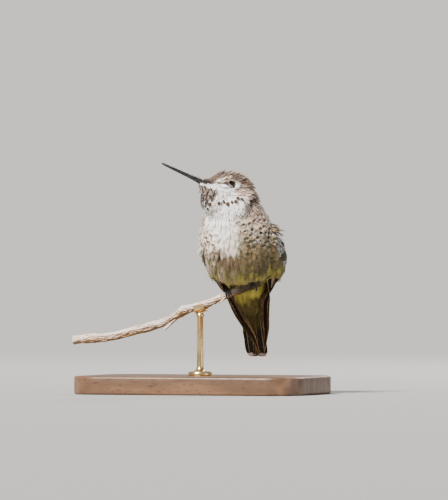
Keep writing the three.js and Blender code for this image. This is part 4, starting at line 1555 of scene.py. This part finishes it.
wingColours = {
    "quills": {
        "Top": (0.0065, 0.0042, 0.0026),
        "Under": (0.0065, 0.0036, 0.0017),
        "Edge": (0.40, 0.245, 0.11),
        "Shaft": (0.40, 0.27, 0.17),
        "Band": (0.02, 0.016, 0.013),
        "Tip": (0.2, 0.13, 0.08),
    },
    "coverts": {
        "Top": (0.040, 0.040, 0.017),
        "Under": (0.05, 0.042, 0.026),
        "Edge": (0.40, 0.26, 0.15),
        "Shaft": (0.10, 0.08, 0.05),
        "Band": (0.035, 0.032, 0.024),
        # the pale tips of the first covert rows are a painted sheen
        "Tip": (0.36, 0.36, 0.35),
    },
}


def wingFeather(side, row, share, cell, seed):
    at, breadth = wingSheets[side]
    root, tip, lift = [mixed(row[key][0], row[key][1], share) for key in ("root", "tip", "lift")]
    half, edge = [row[key][0] * (1 - share) + row[key][1] * share for key in ("half", "edge")]

    def place(along, across, rise):
        u = root[0] + (tip[0] - root[0]) * along
        v = root[1] + (tip[1] - root[1]) * smoothstep(0, row["bend"], along)
        width = np.maximum(breadth(u), 2.6)
        v = v + across * np.minimum(half, 0.42 * width) / width
        over = lift[0] + (lift[1] - lift[0]) * smoothstep(0, 0.7, along)
        return at(u, v, shellRise(u, v) + over + rise)

    # the tip strength paints the pale sheen on the first rows' ends
    marks = (edge, 0.0, 0.7 * smoothstep(row.get("paintedSheen", 0) + 0.01, 0, share))
    return bigVane(place, cell, seed, row["narrow"], row["round"], marks)


def makeWing(side, group, names):
    # one piece of the wing: some of its rows, each feather with its own seed and square
    seed = 300 if side == "left" else 400
    total = sum(wingRows[name]["count"] for name in names)
    meshes = []
    for name in names:
        row = wingRows[name]
        for k in range(row["count"]):
            share, number = k / (row["count"] - 1), len(meshes)
            meshes.append(wingFeather(side, row, share, bakeCell(number, total), seed + 7 * number))
    mesh = joinedMesh(meshes, "wing_" + group + "_" + side)
    print("wing", side, group, len(mesh.polygons), "faces")
    return mesh


quillFinish = quillMaterial("wingQuills", wingColours["quills"])
covertFinish = quillMaterial("wingCoverts", wingColours["coverts"], roughness=0.42, metal=0.15, tipAt=0.7)
for side in sides:
    quills = makeWing(side, "quills", ("primaries", "secondaries", "tertials"))
    addPiece(quills, "flight_feathers", quillFinish, ["wing_" + side + "_feathers"])
    addPiece(makeWing(side, "coverts", ("greater", "median")), "wing_coverts", covertFinish)


# the tail: ten feathers closed to a narrow fan, the outer ones white at the tip
tail = {
    "pairs": 5,
    "root": (0, 6.2, 1.5),
    "tip": (0.5, 17, -26.1),
    "rootHalfWidth": 3.2,  # how far the outer feather lies from the middle at root and tip
    "tipHalfWidth": 2.4,
    "width": 4.3,
    "layer": 0.2,  # from one feather to the next above it
    "bandAt": 0.56,
    "tipAt": 0.95,
    "colours": {
        "Top": (0.036, 0.042, 0.016),
        "Under": (0.052, 0.042, 0.010),
        "Edge": (0.30, 0.19, 0.07),
        "Shaft": (0.22, 0.15, 0.085),
        "Band": (0.006, 0.0048, 0.004),
        "Tip": (0.62, 0.50, 0.46),
    },
}


def tailFeather(number, side, cell):
    share = number / (tail["pairs"] - 1)
    root, tip = np.array(tail["root"]), np.array(tail["tip"])
    line = tip - root
    below = unit([0, line[2], -line[1]])
    shorter = 0.012 * (1 - share) + 0.025 * share**2

    def place(along, across, rise):
        reach = along * (1 - shorter)
        sideways = tail["rootHalfWidth"] * share * (1 - reach)
        sideways = sideways + (tail["tipHalfWidth"] * share + 0.7) * reach
        grown = tail["width"] * (0.42 + 0.58 * np.sin(np.minimum(1, reach * 1.25) * math.pi / 2))
        points = root + line * reach[:, None]
        points[:, 0] += side * (sideways - across * grown / 2)
        depth = (share - 0.5) * (tail["pairs"] - 1) * tail["layer"] - rise
        return points + below * depth[:, None]

    marks = (0.35 + 0.5 * share, smoothstep(0.2, 0.6, share), smoothstep(0.4, 0.6, share))
    return bigVane(place, cell, 500 + 10 * number + side, 1 - 0.35 * share, 0.86, marks)


def makeTail():
    meshes = []
    for number in range(tail["pairs"]):
        for side in (-1, 1):
            meshes.append(tailFeather(number, side, bakeCell(len(meshes), 2 * tail["pairs"])))
    mesh = joinedMesh(meshes, "tailFeathers")
    marked = {"bandAt": tail["bandAt"], "tipAt": tail["tipAt"]}
    material = quillMaterial("tailQuills", tail["colours"], roughness=0.42, **marked)
    addPiece(mesh, "flight_feathers", material, ["tail"])
    print("tail", len(mesh.polygons), "faces")


makeTail()


# rolled shapes: a grid closed round into a tube or a pointed form
def rolled(around, along, placeAt, name):
    # placeAt(angle, share) gives bird millimetres; both ends may shrink to a point
    bm = bmesh.new()
    bmesh.ops.create_grid(bm, x_segments=around, y_segments=along, size=1)
    flat = np.array([v.co[:2] for v in bm.verts])
    points = placeAt(math.pi * (flat[:, 0] + 1), (flat[:, 1] + 1) / 2)
    placeVerts(bm, points)
    bmesh.ops.remove_doubles(bm, verts=bm.verts, dist=0.004 * mm)
    bmesh.ops.holes_fill(bm, edges=bm.edges, sides=around + 2)
    bmesh.ops.recalc_face_normals(bm, faces=bm.faces)
    return meshFrom(bm, name)


def noiseAt(points, scale, octaves):
    # smooth noise of places in bird millimetres, about -1 to 1
    return np.array([noise.fractal(Vector(p) * scale, 1.0, 2.0, octaves) for p in points])


def closedEnds(share, reach):
    # 1 along the middle, falling to nothing in a round end
    near = np.clip(np.minimum(share, 1 - share) / reach, 0, 1)
    return np.sqrt(1 - (1 - near) ** 2)


# bill: two horny halves, the upper one keeled and grooved and a little longer
bill = {
    "base": 12.7,  # forward and down of the head's middle
    "drop": -0.7,
    "length": 18.2,
    "width": 2.1,
    "depth": 1.95,
    "rooted": 3,  # how far it runs back under the feathers
    "gap": 0.05,
    "shorter": 0.25,  # by how much the lower half is the shorter
    "keel": 0.10,
    "groove": 0.12,
    "flap": 0.16,  # over the nostril
    # forward of the base, and the share of the width and depth there
    "rows": [(-3, 1.05), (0, 1), (3, 0.76), (7, 0.62), (12, 0.52), (16, 0.42), (17.6, 0.30), (18.2, 0.08)],
}


def makeBill(upper):
    sign = 1 if upper else -1
    reach = bill["rooted"] + bill["length"]
    places, sizes = zip(*bill["rows"])

    def place(angle, share):
        forward = reach * share - bill["rooted"]
        aside, rise = np.cos(angle), np.sin(angle)
        size = np.interp(forward, places, sizes) * closedEnds(share, 0.004)
        swell = 1 + bill["keel"] * np.exp(-(aside**2) / 0.05)
        if upper:
            groove = np.exp(-((np.abs(aside) - 0.72) ** 2) / 0.012) * smoothstep(9, 1, forward)
            flap = np.exp(-((np.abs(aside) - 0.86) ** 2) / 0.02) * np.exp(-((forward - 0.6) ** 2) / 2.2)
            swell = swell - bill["groove"] * groove + bill["flap"] * flap
        # each half is nearly flat where it meets the other
        up = np.where(rise > 0, rise, 0.12 * rise) * size * bill["depth"] / 2 * swell
        away = sign * (up + bill["gap"] * (1 - 0.6 * share) + 0.10 * size)
        if not upper:
            away = away + 0.06 * smoothstep(17.4, 18.2, forward)
            forward = forward - bill["shorter"] * share
        left = aside * size * bill["width"] / 2
        return fromHead(np.stack([bill["base"] + forward, left, bill["drop"] + away], 1))

    mesh = rolled(40, 90, place, "bill_above" if upper else "bill_below")
    addPiece(mesh, "bill_horn", hornMaterial, ["bill_upper" if upper else "bill_lower"])


def makeHornMaterial(name, base, streak, roughness):
    material, n, principled = newMaterial(name, {"Coat Weight": 0.12, "Coat Roughness": 0.25})
    place = n.place()
    grain = n.noise(place, 650.0, 6.0, 0.6)
    n.put(principled, "Base Color", n.mix(n.ramp(grain, (0.42, 0.0), (0.68, 1.0)), base, streak))
    n.put(principled, "Roughness", n.plus(n.times(grain, 0.25), roughness - 0.12))
    n.relief(principled, 0.25, 0.00003, n.noise(place, 3800.0, 2.0))
    return material


hornMaterial = makeHornMaterial("billHorn", (0.012, 0.010, 0.011), (0.050, 0.042, 0.052), 0.44)
makeBill(True)
makeBill(False)
print("stage: bill")


# eyes: a wet ball with a bulging cornea, and a bare rim of lid round each opening
eyeShape = {
    "iris": ((0.004, 0.003, 0.002), (0.014, 0.008, 0.005)),
    "pupil": (0.001, 0.001, 0.001),
    "cornea": 0.24,  # how far it bulges, for each share of the ball past its edge
    "corneaFrom": 0.72,
    "pupilFrom": (0.84, 0.88),
}


def makeEye(side):
    sign = sides[side]
    centre = fromHead((eyeball["forward"], sign * eyeball["out"], eyeball["up"]))
    axis = Vector(headLeft * sign)
    bm = bmesh.new()
    bmesh.ops.create_uvsphere(bm, u_segments=40, v_segments=24, radius=eyeball["radius"] * mm)
    bmesh.ops.rotate(bm, verts=bm.verts, matrix=axis.to_track_quat("Z", "Y").to_matrix())
    for vert in bm.verts:
        past = max(0.0, vert.co.normalized().dot(axis) - eyeShape["corneaFrom"])
        bulge = past * eyeShape["cornea"] * mm
        vert.co += axis * bulge
    bmesh.ops.translate(bm, verts=bm.verts, vec=Vector(toScene(centre)))
    mesh = meshFrom(bm, "eye_ball_" + side)
    addPiece(mesh, "eye_gloss", eyeMaterial(side, centre, axis), ["eye_" + side])


def eyeMaterial(side, centre, axis):
    finish = {"Roughness": 0.05, "Specular IOR Level": 0.14, "Coat Weight": 0.10, "Coat Roughness": 0.02}
    material, n, principled = newMaterial("wetEye_" + side, finish)
    place = n.place()
    away = n.add("VectorMath", {"operation": "SUBTRACT"})
    n.put(away, 0, place)
    n.put(away, 1, tuple(toScene(centre)))
    dot = n.add("VectorMath", {"operation": "DOT_PRODUCT"})
    n.put(dot, 0, away)
    n.put(dot, 1, tuple(axis))
    facing = n.maths("DIVIDE", dot.outputs["Value"], eyeball["radius"] * mm)
    iris = n.mix(n.noise(place, 2600.0, 3.0), *eyeShape["iris"])
    start, end = eyeShape["pupilFrom"]
    pupil = n.ramp(facing, (start, 0.0), (end, 1.0))
    n.put(principled, "Base Color", n.mix(pupil, iris, eyeShape["pupil"]))
    return material


lidProfile = [
    # share of the rim's breadth, and height over the eyeball as a share of the lid's thickness
    (-0.05, -2 / 3),
    (0.0, 1 / 3),
    (0.10, 0.8),
    (0.30, 1.0),
    (0.60, 11 / 15),
    (0.85, 1 / 3),
    (1.0, -0.4),
]


def makeLids(side):
    # rolled from the eyeball over the lid's edge into the skin
    sign = sides[side]
    tilt = math.radians(lids["tilt"])
    turns = 56

    def place(angle, share, height):
        cosine, sine = math.cos(angle), math.sin(angle)
        narrow = 1 - 0.10 * abs(cosine) ** 8
        along = (lids["long"] + share * lids["broad"]) * cosine
        above = (lids["high"] * abs(sine) ** 0.2 * narrow + share * lids["broad"]) * sine
        forward = along * math.cos(tilt) - above * math.sin(tilt)
        up = along * math.sin(tilt) + above * math.cos(tilt)
        radius = eyeball["radius"] + height * lids["rim"]
        out = math.sqrt(max(radius**2 - forward**2 - up**2, 0.05))
        centre = np.array([eyeball["forward"], sign * eyeball["out"], eyeball["up"]])
        return toScene(fromHead(centre + [forward, sign * out, up]))

    bm = bmesh.new()
    angles = [2 * math.pi * k / turns for k in range(turns)]
    rows = [[bm.verts.new(place(angle, *row)) for angle in angles] for row in lidProfile]
    for first, second in zip(rows, rows[1:]):
        for k in range(turns):
            corners = [first[k], first[(k + 1) % turns], second[(k + 1) % turns], second[k]]
            bm.faces.new(corners if side == "left" else corners[::-1])
    mesh = meshFrom(bm, "eye_lids_" + side)
    weigh(mesh, "ring", np.repeat([row[0] for row in lidProfile], turns))
    addPiece(mesh, "plumage", lidMaterial)


def makeLidMaterial():
    # dark at the rim, brown and finely wrinkled towards the feathers
    material, n, principled = newMaterial("lidSkin", {"Roughness": 0.55})
    pebble = n.add("TexVoronoi", Vector=n.place(), Scale=4200.0).outputs["Distance"]
    stops = ((0.15, (0.006, 0.005, 0.004)), (0.4, (0.09, 0.055, 0.042)), (0.9, (0.36, 0.24, 0.19)))
    colour = n.mix(n.times(pebble, 0.5), n.ramp(n.value("ring"), *stops), (0.10, 0.07, 0.06))
    n.put(principled, "Base Color", colour)
    n.relief(principled, 0.5, 0.00005, pebble)
    return material


lidMaterial = makeLidMaterial()
for side in sides:
    makeEye(side)
    makeLids(side)
print("stage: eyes")


# twig: weathered, its grey skin peeled to pale wood on top, which is partly painted light, with a knot and a
# side stub
twig = {
    "rows": [
        # along X, up, radius
        (7.6, 2.55, 1.2),
        (4.3, 1.44, 1.25),
        (-0.5, -0.16, 1.35),
        (-5.9, -1.96, 1.35),
        (-14.3, -5.5, 1.5),
        (-20.6, -7.2, 1.5),
        (-23.5, -8, 1.95),
        (-26.6, -10, 1.55),
        (-31, -12.2, 1.55),
        (-36.5, -14, 1.7),
        (-43, -15.6, 1.65),
        (-49.6, -17.4, 1.6),
        (-56.5, -18.6, 1.6),
        (-61, -18.9, 1.9),
        (-66, -19.3, 1.6),
        (-69.3, -19.7, 1.6),
    ],
    "around": 64,
    "along": 420,
    "relief": 0.2,
    # place and radius
    "stub": [
        (-23.8, 0, -8.8, 0.75),
        (-26.4, -0.3, -11, 0.62),
        (-29, -0.6, -13.3, 0.55),
        (-31.5, -0.8, -15.5, 0.5),
    ],
    "splinter": [(-6.4, -1.1, -3.0, 0.5), (-7.6, -1.5, -4.3, 0.42), (-8.9, -1.8, -5.3, 0.2)],
}
twigLine = curveThrough([(x, 0, z) for x, z, _ in twig["rows"]])
twigGirth = curveThrough([(radius, 0, 0) for _, _, radius in twig["rows"]])


def onTwig(x):
    # the twig's middle and its run towards the bird's left, at a place along X
    points = twigLine(np.linspace(0, 1, 2001))
    best = np.abs(points[:, 0] - x).argmin()
    low, high = max(best - 1, 0), min(best + 1, len(points) - 1)
    return points[best], unit(points[low] - points[high])


def runsAlong(line, steps):
    # the direction of a line at each share of it
    runs = unit(np.gradient(line(np.linspace(0, 1, steps)), axis=0))
    return lambda share: runs[np.minimum((share * (steps - 1)).astype(int), steps - 1)]


def branchTube(line, girth, around, along, relief, name, seed, flatEnds=0.006):
    # a woody tube: lengthwise cracks, low warts and a slightly twisted grain
    runs = runsAlong(line, 400)
    length = np.linalg.norm(line(1.0) - line(0.0))

    def place(angle, share):
        run = runs(share)
        front = unit(np.cross(run, (0, 0, 1.0)))
        above = unit(np.cross(front, run))
        ring = front * np.cos(angle)[:, None] + above * np.sin(angle)[:, None]
        way = share * length
        twisted = angle + 0.05 * way
        grain = np.stack([np.cos(twisted) * 3.2, np.sin(twisted) * 3.2, way * 0.16], 1)
        crack = np.abs(noiseAt(grain + seed, 1.0, 4))
        coarse = noiseAt(np.stack([np.cos(angle), np.sin(angle), way * 0.22], 1) + seed, 1.3, 3)
        flakes = noiseAt(grain * [1.3, 1.3, 2.6] + seed + 40, 1.0, 4)
        plate = smoothstep(-0.04, 0.05, flakes) + 0.7 * smoothstep(0.16, 0.22, flakes)
        out = relief * (0.9 * coarse + 0.75 * plate - 0.9 * np.exp(-((crack / 0.10) ** 2)) - 0.95)
        size = (girth(share)[:, 0] + out) * closedEnds(share, flatEnds)
        return line(share) + ring * size[:, None]

    return rolled(around, along, place, name)


barkTones = {
    "ochre": ((0.13, 0.062, 0.025), (0.46, 0.27, 0.12)),
    # the pale upper side: bleached wood, and partly painted light from above the front
    "bleachedAndLit": ((0.42, 0.31, 0.27), (0.86, 0.74, 0.70)),
    # painted shade: the twig's end under the bird's belly
    "paintedShadeUnderBird": (0.050, 0.034, 0.013),
    "paintedShadeFrom": 0.0125,  # metres along X, where the painted shade of the dark end behind the feet begins
    "cracks": (0.060, 0.034, 0.022),
    "pits": (0.09, 0.045, 0.028),
}


def barkMaterial():
    material, n, principled = newMaterial("weatheredBark", {"Roughness": 0.85})
    place = n.place()
    laid = n.add("Mapping", Vector=place, Scale=(0.22, 1.0, 1.0), Rotation=(0, math.radians(-16), 0))
    fibres = n.noise(laid, 1900.0, 7.0, 0.7, Distortion=0.3)
    patches = n.noise(laid, 210.0, 6.0, 0.62)
    specks = n.add("TexVoronoi", Vector=place, Scale=1300.0).outputs["Distance"]
    # paler where it faces up and forward: bleached wood, and partly painted light from above the front
    normal = n.add("SeparateXYZ", Vector=n.add("NewGeometry").outputs["Normal"])
    upward = n.plus(n.times(normal.outputs[2], 0.5), n.times(normal.outputs[1], -0.22))
    upward = n.plus(upward, n.times(n.minus(patches, 0.5), 1.7))
    ochre = n.mix(fibres, *barkTones["ochre"])
    pale = n.mix(fibres, *barkTones["bleachedAndLit"])
    colour = n.mix(n.ramp(upward, (0.0, 0.0), (0.42, 1.0)), ochre, pale)
    along = n.add("SeparateXYZ", Vector=place).outputs[0]
    # painted shade on the twig's end behind the feet, under the belly
    shaded = n.times(n.minus(along, barkTones["paintedShadeFrom"]), 300.0, clamp=True)
    colour = n.mix(n.times(shaded, 0.88), colour, barkTones["paintedShadeUnderBird"])
    dark = n.ramp(fibres, (0.30, 1.0), (0.40, 0.0))
    colour = n.mix(n.times(dark, 0.55), colour, barkTones["cracks"])
    pits = n.times(n.ramp(specks, (0.08, 1.0), (0.16, 0.0)), n.times(patches, 0.8))
    n.put(principled, "Base Color", n.mix(pits, colour, barkTones["pits"]))
    n.relief(principled, 0.7, 0.00018, n.plus(fibres, n.times(patches, 0.6)))
    return material


def makeTwig():
    body = (twig["around"], twig["along"], twig["relief"], "twigBody", 3.0)
    parts = [branchTube(twigLine, twigGirth, *body)]
    for key, seed in (("stub", 11.0), ("splinter", 19.0)):
        line = curveThrough([row[:3] for row in twig[key]])
        girth = curveThrough([(row[3], 0, 0) for row in twig[key]])
        parts.append(branchTube(line, girth, 20, 40, 0.06, key, seed, flatEnds=0.04))
    mesh = joinedMesh(parts, "twig_wood")
    addPiece(mesh, "bark", barkMaterial(), ["perch_twig"])
    print("twig", len(mesh.polygons), "faces")


makeTwig()


# feet: scaled toes round the twig, each with its own claw
foot = {
    "spread": 4.8,
    "reach": 2.07,  # from the twig's middle to the middle of a toe
    "toe": 0.42,
    "claw": 0.30,
    "tarsus": 0.55,
    "scutes": 14.4,  # over the length of a toe
    "fleshTo": 0.78,  # the claw starts inside the toe's end
    "clawFrom": 0.72,
    # degrees round the twig where a toe starts and ends, and how far it splays
    "toes": [(112, -58, -1.4), (112, -58, 0), (112, -58, 1.4), (108, 268, 0)],
    # how far the leg's bare end lies outwards, back and up of the twig
    "leg": [(0.2, 1.1, 4.4), (0.1, 1.0, 3.5), (0, 0.8, 2.55), (0, 0.5, 2.05)],
}


def toeLine(at, start, end, splay):
    middle, run = onTwig(at)
    upward = np.cross(run, (0, 1.0, 0))

    def line(share):
        share = np.asarray(share, float)
        angle = np.radians(start + (end - start) * share)
        last = np.clip(share - foot["clawFrom"], 0, None) / (1 - foot["clawFrom"])
        out = foot["reach"] + 0.25 * np.sin(math.pi * np.clip(share, 0, 1)) + 0.25 * last
        points = middle + run * (splay * share)[..., None] + upward * (np.sin(angle) * out)[..., None]
        points[..., 1] -= np.cos(angle) * out
        return points

    return line


def softTube(line, sizeAt, around, along, name, squeeze=1.0):
    runs = runsAlong(line, 200)
    across = np.array([1.0, 0.0, 0.3])

    def place(angle, share):
        run = runs(share)
        side = unit(across - run * (run @ across)[:, None])
        above = np.cross(side, run)
        size = sizeAt(share, angle) * closedEnds(share, 0.05)
        ring = side * np.cos(angle)[:, None] * squeeze + above * np.sin(angle)[:, None]
        return line(share) + ring * size[:, None]

    return rolled(around, along, place, name)


def fleshSize(share, angle):
    # three knuckles, and scutes over the top
    knuckle = 0.05 * np.cos(share * 2 * math.pi * 3)
    scute = 0.035 * (1 - np.mod(share * foot["scutes"], 1)) * (np.sin(angle) > -0.3)
    return foot["toe"] * (0.86 - 0.12 * share + knuckle) + scute


def clawSize(share, angle):
    return foot["claw"] * (1 - 0.86 * share**1.3)


def tarsusSize(share, angle):
    return foot["tarsus"] * (0.9 + 0.06 * np.sin(share * 40))


def stretchOf(line, start, end):
    return lambda share: line(start + (end - start) * np.asarray(share))


def makeToe(at, start, end, splay):
    line = toeLine(at, start, end, splay)
    flesh = softTube(stretchOf(line, 0, foot["fleshTo"]), fleshSize, 14, 46, "toe", 0.92)
    claw = softTube(stretchOf(line, foot["clawFrom"], 1), clawSize, 10, 16, "claw", 0.7)
    return flesh, claw


def makeFoot(side):
    at = sides[side] * foot["spread"]
    flesh, claws = zip(*[makeToe(at, *toe) for toe in foot["toes"]])
    middle, _ = onTwig(at)
    leg = curveThrough([middle + (sides[side] * out, back, up) for out, back, up in foot["leg"]])
    tarsus = softTube(leg, tarsusSize, 14, 26, "tarsus")
    addPiece(joinedMesh([*flesh, tarsus], "toes_" + side), "foot_skin", footMaterial, ["foot_" + side])
    addPiece(joinedMesh(claws, "claws_" + side), "foot_skin", clawMaterial)


def makeFootMaterial():
    finish = {"Specular IOR Level": 0.2, "Coat Weight": 0.5, "Coat Roughness": 0.14}
    material, n, principled = newMaterial("footScales", finish)
    place = n.place()
    cells = n.add("TexVoronoi", {"feature": "DISTANCE_TO_EDGE"}, Vector=place, Scale=2600.0)
    cells = cells.outputs["Distance"]
    mottled = n.noise(place, 700.0, 4.0)
    colour = n.mix(mottled, (0.006, 0.004, 0.005), (0.040, 0.029, 0.035))
    lines = n.ramp(cells, (0.02, 1.0), (0.09, 0.0))
    n.put(principled, "Base Color", n.mix(lines, colour, (0.012, 0.009, 0.008)))
    n.put(principled, "Roughness", n.plus(n.times(mottled, 0.3), 0.25))
    n.relief(principled, 0.5, 0.00005, cells)
    return material


footMaterial = makeFootMaterial()
clawMaterial = makeHornMaterial("clawHorn", (0.010, 0.008, 0.008), (0.05, 0.04, 0.036), 0.3)
for side in sides:
    makeFoot(side)
print("stage: feet")


# display stand: brass rod with a cradle, walnut base
stand = {
    "length": 92,
    "depth": 54,
    "height": 7,
    "corner": 12,
    "bevel": 0.9,
    "rodAt": -17,
    "rodRadius": 1.25,
    "flangeRadius": 4.6,
    "flangeHeight": 1.4,
    "seam": 0.1,  # from the base to the flange
    "cradleLength": 4.2,
    "cradleWall": 0.8,
    "cradleInner": 1.85,
    "cradleRim": 0.16,
    "openBy": 12,  # degrees past half a round on each side
}


def bevelled(bm, edges, offset, segments):
    bevel = {"affect": "EDGES", "profile": 0.5, "material": -1}
    bmesh.ops.bevel(bm, geom=edges, offset=offset * mm, segments=segments, **bevel)


def makeBase():
    bm = bmesh.new()
    bmesh.ops.create_cube(bm, size=1)
    size = (stand["length"] * mm, stand["depth"] * mm, stand["height"] * mm)
    bmesh.ops.scale(bm, vec=size, verts=bm.verts)
    upright = [e for e in bm.edges if abs(e.verts[0].co.z - e.verts[1].co.z) > 1e-4]
    bevelled(bm, upright, stand["corner"], 14)
    level = [e for e in bm.edges if abs(e.verts[0].co.z - e.verts[1].co.z) < 1e-6]
    rims = [e for e in level if len(e.link_faces) == 2 and any(abs(f.normal.z) > 0.9 for f in e.link_faces)]
    bevelled(bm, rims, stand["bevel"], 5)
    bmesh.ops.translate(bm, verts=bm.verts, vec=(0, 0, stand["height"] * mm / 2))
    mesh = meshFrom(bm, "base_walnut")
    mesh.set_sharp_from_angle(angle=math.radians(40))
    addPiece(mesh, "walnut", walnutMaterial(), ["stand_base"])


def walnutMaterial():
    material, n, principled = newMaterial("oiledWalnut", {"Coat Weight": 0.15, "Coat Roughness": 0.3})
    laid = n.add("Mapping", Vector=n.place(), Scale=(0.16, 1.0, 1.0), Location=(0.013, 0.031, 0.02))
    bands = {"wave_type": "BANDS", "bands_direction": "Y"}
    rings = n.add("TexWave", bands, Vector=laid, Scale=62.0, Distortion=9.0, Detail=4.0)
    n.put(rings, "Detail Scale", 1.6)
    pores = n.noise(laid, 2400.0, 4.0, 0.6)
    colour = n.mix(rings.outputs["Fac"], (0.060, 0.027, 0.012), (0.155, 0.075, 0.036))
    colour = n.mix(n.times(n.noise(laid, 55.0, 4.0), 0.6), colour, (0.20, 0.10, 0.05))
    colour = n.mix(n.ramp(pores, (0.32, 0.85), (0.42, 0.0)), colour, (0.022, 0.010, 0.005))
    n.put(principled, "Base Color", colour)
    n.put(principled, "Roughness", n.plus(n.times(pores, 0.3), 0.28))
    n.relief(principled, 0.3, 0.00012, pores)
    return material


def rodMesh(x, top):
    # spun from half its outline: flange, coved foot, shaft and a collar under the cradle
    flange, radius = stand["flangeRadius"], stand["rodRadius"]
    seat = stand["height"] + stand["seam"] - grip[2]
    shoulder = seat + stand["flangeHeight"]
    profile = [
        (0, seat),
        (flange - 0.1, seat),
        (flange, seat + 0.12),
        (flange, seat + stand["flangeHeight"] * 0.6),
        (flange - 0.35, shoulder),
        (flange - 1.1, shoulder + 0.1),
        (radius + 1.0, shoulder + 0.35),
        (radius + 0.35, shoulder + 0.9),
        (radius, shoulder + 2),
        (radius, top - 2.0),
        (radius + 0.28, top - 1.7),
        (radius + 0.28, top - 1.0),
        (radius, top - 0.7),
        (radius, top),
        (0, top),
    ]
    bm = bmesh.new()
    verts = [bm.verts.new(toScene((x + out, 0, z))) for out, z in profile]
    edges = [bm.edges.new(pair) for pair in zip(verts, verts[1:])]
    centre = Vector(toScene((x, 0, 0)))
    turn = {"axis": (0, 0, 1), "angle": 2 * math.pi, "steps": 40, "use_merge": True}
    bmesh.ops.spin(bm, geom=verts + edges, cent=centre, **turn)
    bmesh.ops.remove_doubles(bm, verts=bm.verts, dist=1e-7)
    bmesh.ops.recalc_face_normals(bm, faces=bm.faces)
    return meshFrom(bm, "rod")


def cradleMesh(middle, run):
    # an open half ring, drawn out along the twig
    across = np.array([0, 1.0, 0])
    upward = np.cross(run, across)
    opening = math.radians(stand["openBy"])
    start, end = math.pi - opening, 2 * math.pi + opening
    length, steps = stand["cradleLength"], 30

    def arc(radius, first, last):
        angles = [first + (last - first) * k / steps for k in range(steps + 1)]
        return [(math.cos(angle) * radius, math.sin(angle) * radius) for angle in angles]

    outline = arc(stand["cradleInner"], start, end)
    outline += arc(stand["cradleInner"] + stand["cradleWall"], end, start)
    corners = [middle + across * a + upward * b - run * length / 2 for a, b in outline]
    bm = bmesh.new()
    face = bm.faces.new([bm.verts.new(toScene(corner)) for corner in corners])
    grown = bmesh.ops.extrude_face_region(bm, geom=[face])
    moved = [e for e in grown["geom"] if isinstance(e, bmesh.types.BMVert)]
    bmesh.ops.translate(bm, verts=moved, vec=Vector(run * length * mm))
    bmesh.ops.recalc_face_normals(bm, faces=bm.faces)
    ends = [f for f in bm.faces if len(f.verts) > 8]
    rims = list(dict.fromkeys(e for f in ends for e in f.edges))
    bevelled(bm, rims, stand["cradleRim"], 3)
    mesh = meshFrom(bm, "cradle")
    mesh.set_sharp_from_angle(angle=math.radians(40))
    return mesh


def makeRod():
    middle, run = onTwig(stand["rodAt"])
    top = middle[2] - stand["cradleInner"] - stand["cradleWall"] / 2
    mesh = joinedMesh([rodMesh(middle[0], top), cradleMesh(middle, run)], "rod_brass")
    mesh.set_sharp_from_angle(angle=math.radians(50))
    addPiece(mesh, "brass", brassMaterial(), ["stand_rod"])


def brassMaterial():
    material, n, principled = newMaterial("brushedBrass", {"Metallic": 1.0})
    place = n.place()
    lines = n.noise(n.add("Mapping", Vector=place, Scale=(1.0, 1.0, 14.0)), 900.0, 3.0)
    dull = n.ramp(n.noise(place, 160.0, 6.0, 0.7), (0.5, 0.0), (0.75, 1.0))
    n.put(principled, "Base Color", n.mix(dull, (0.78, 0.56, 0.26), (0.42, 0.27, 0.12)))
    rough = n.plus(n.times(lines, 0.14), n.times(dull, 0.18))
    n.put(principled, "Roughness", n.plus(rough, 0.16))
    n.relief(principled, 0.12, 0.00003, lines)
    return material


makeBase()
makeRod()
print("stage: stand")
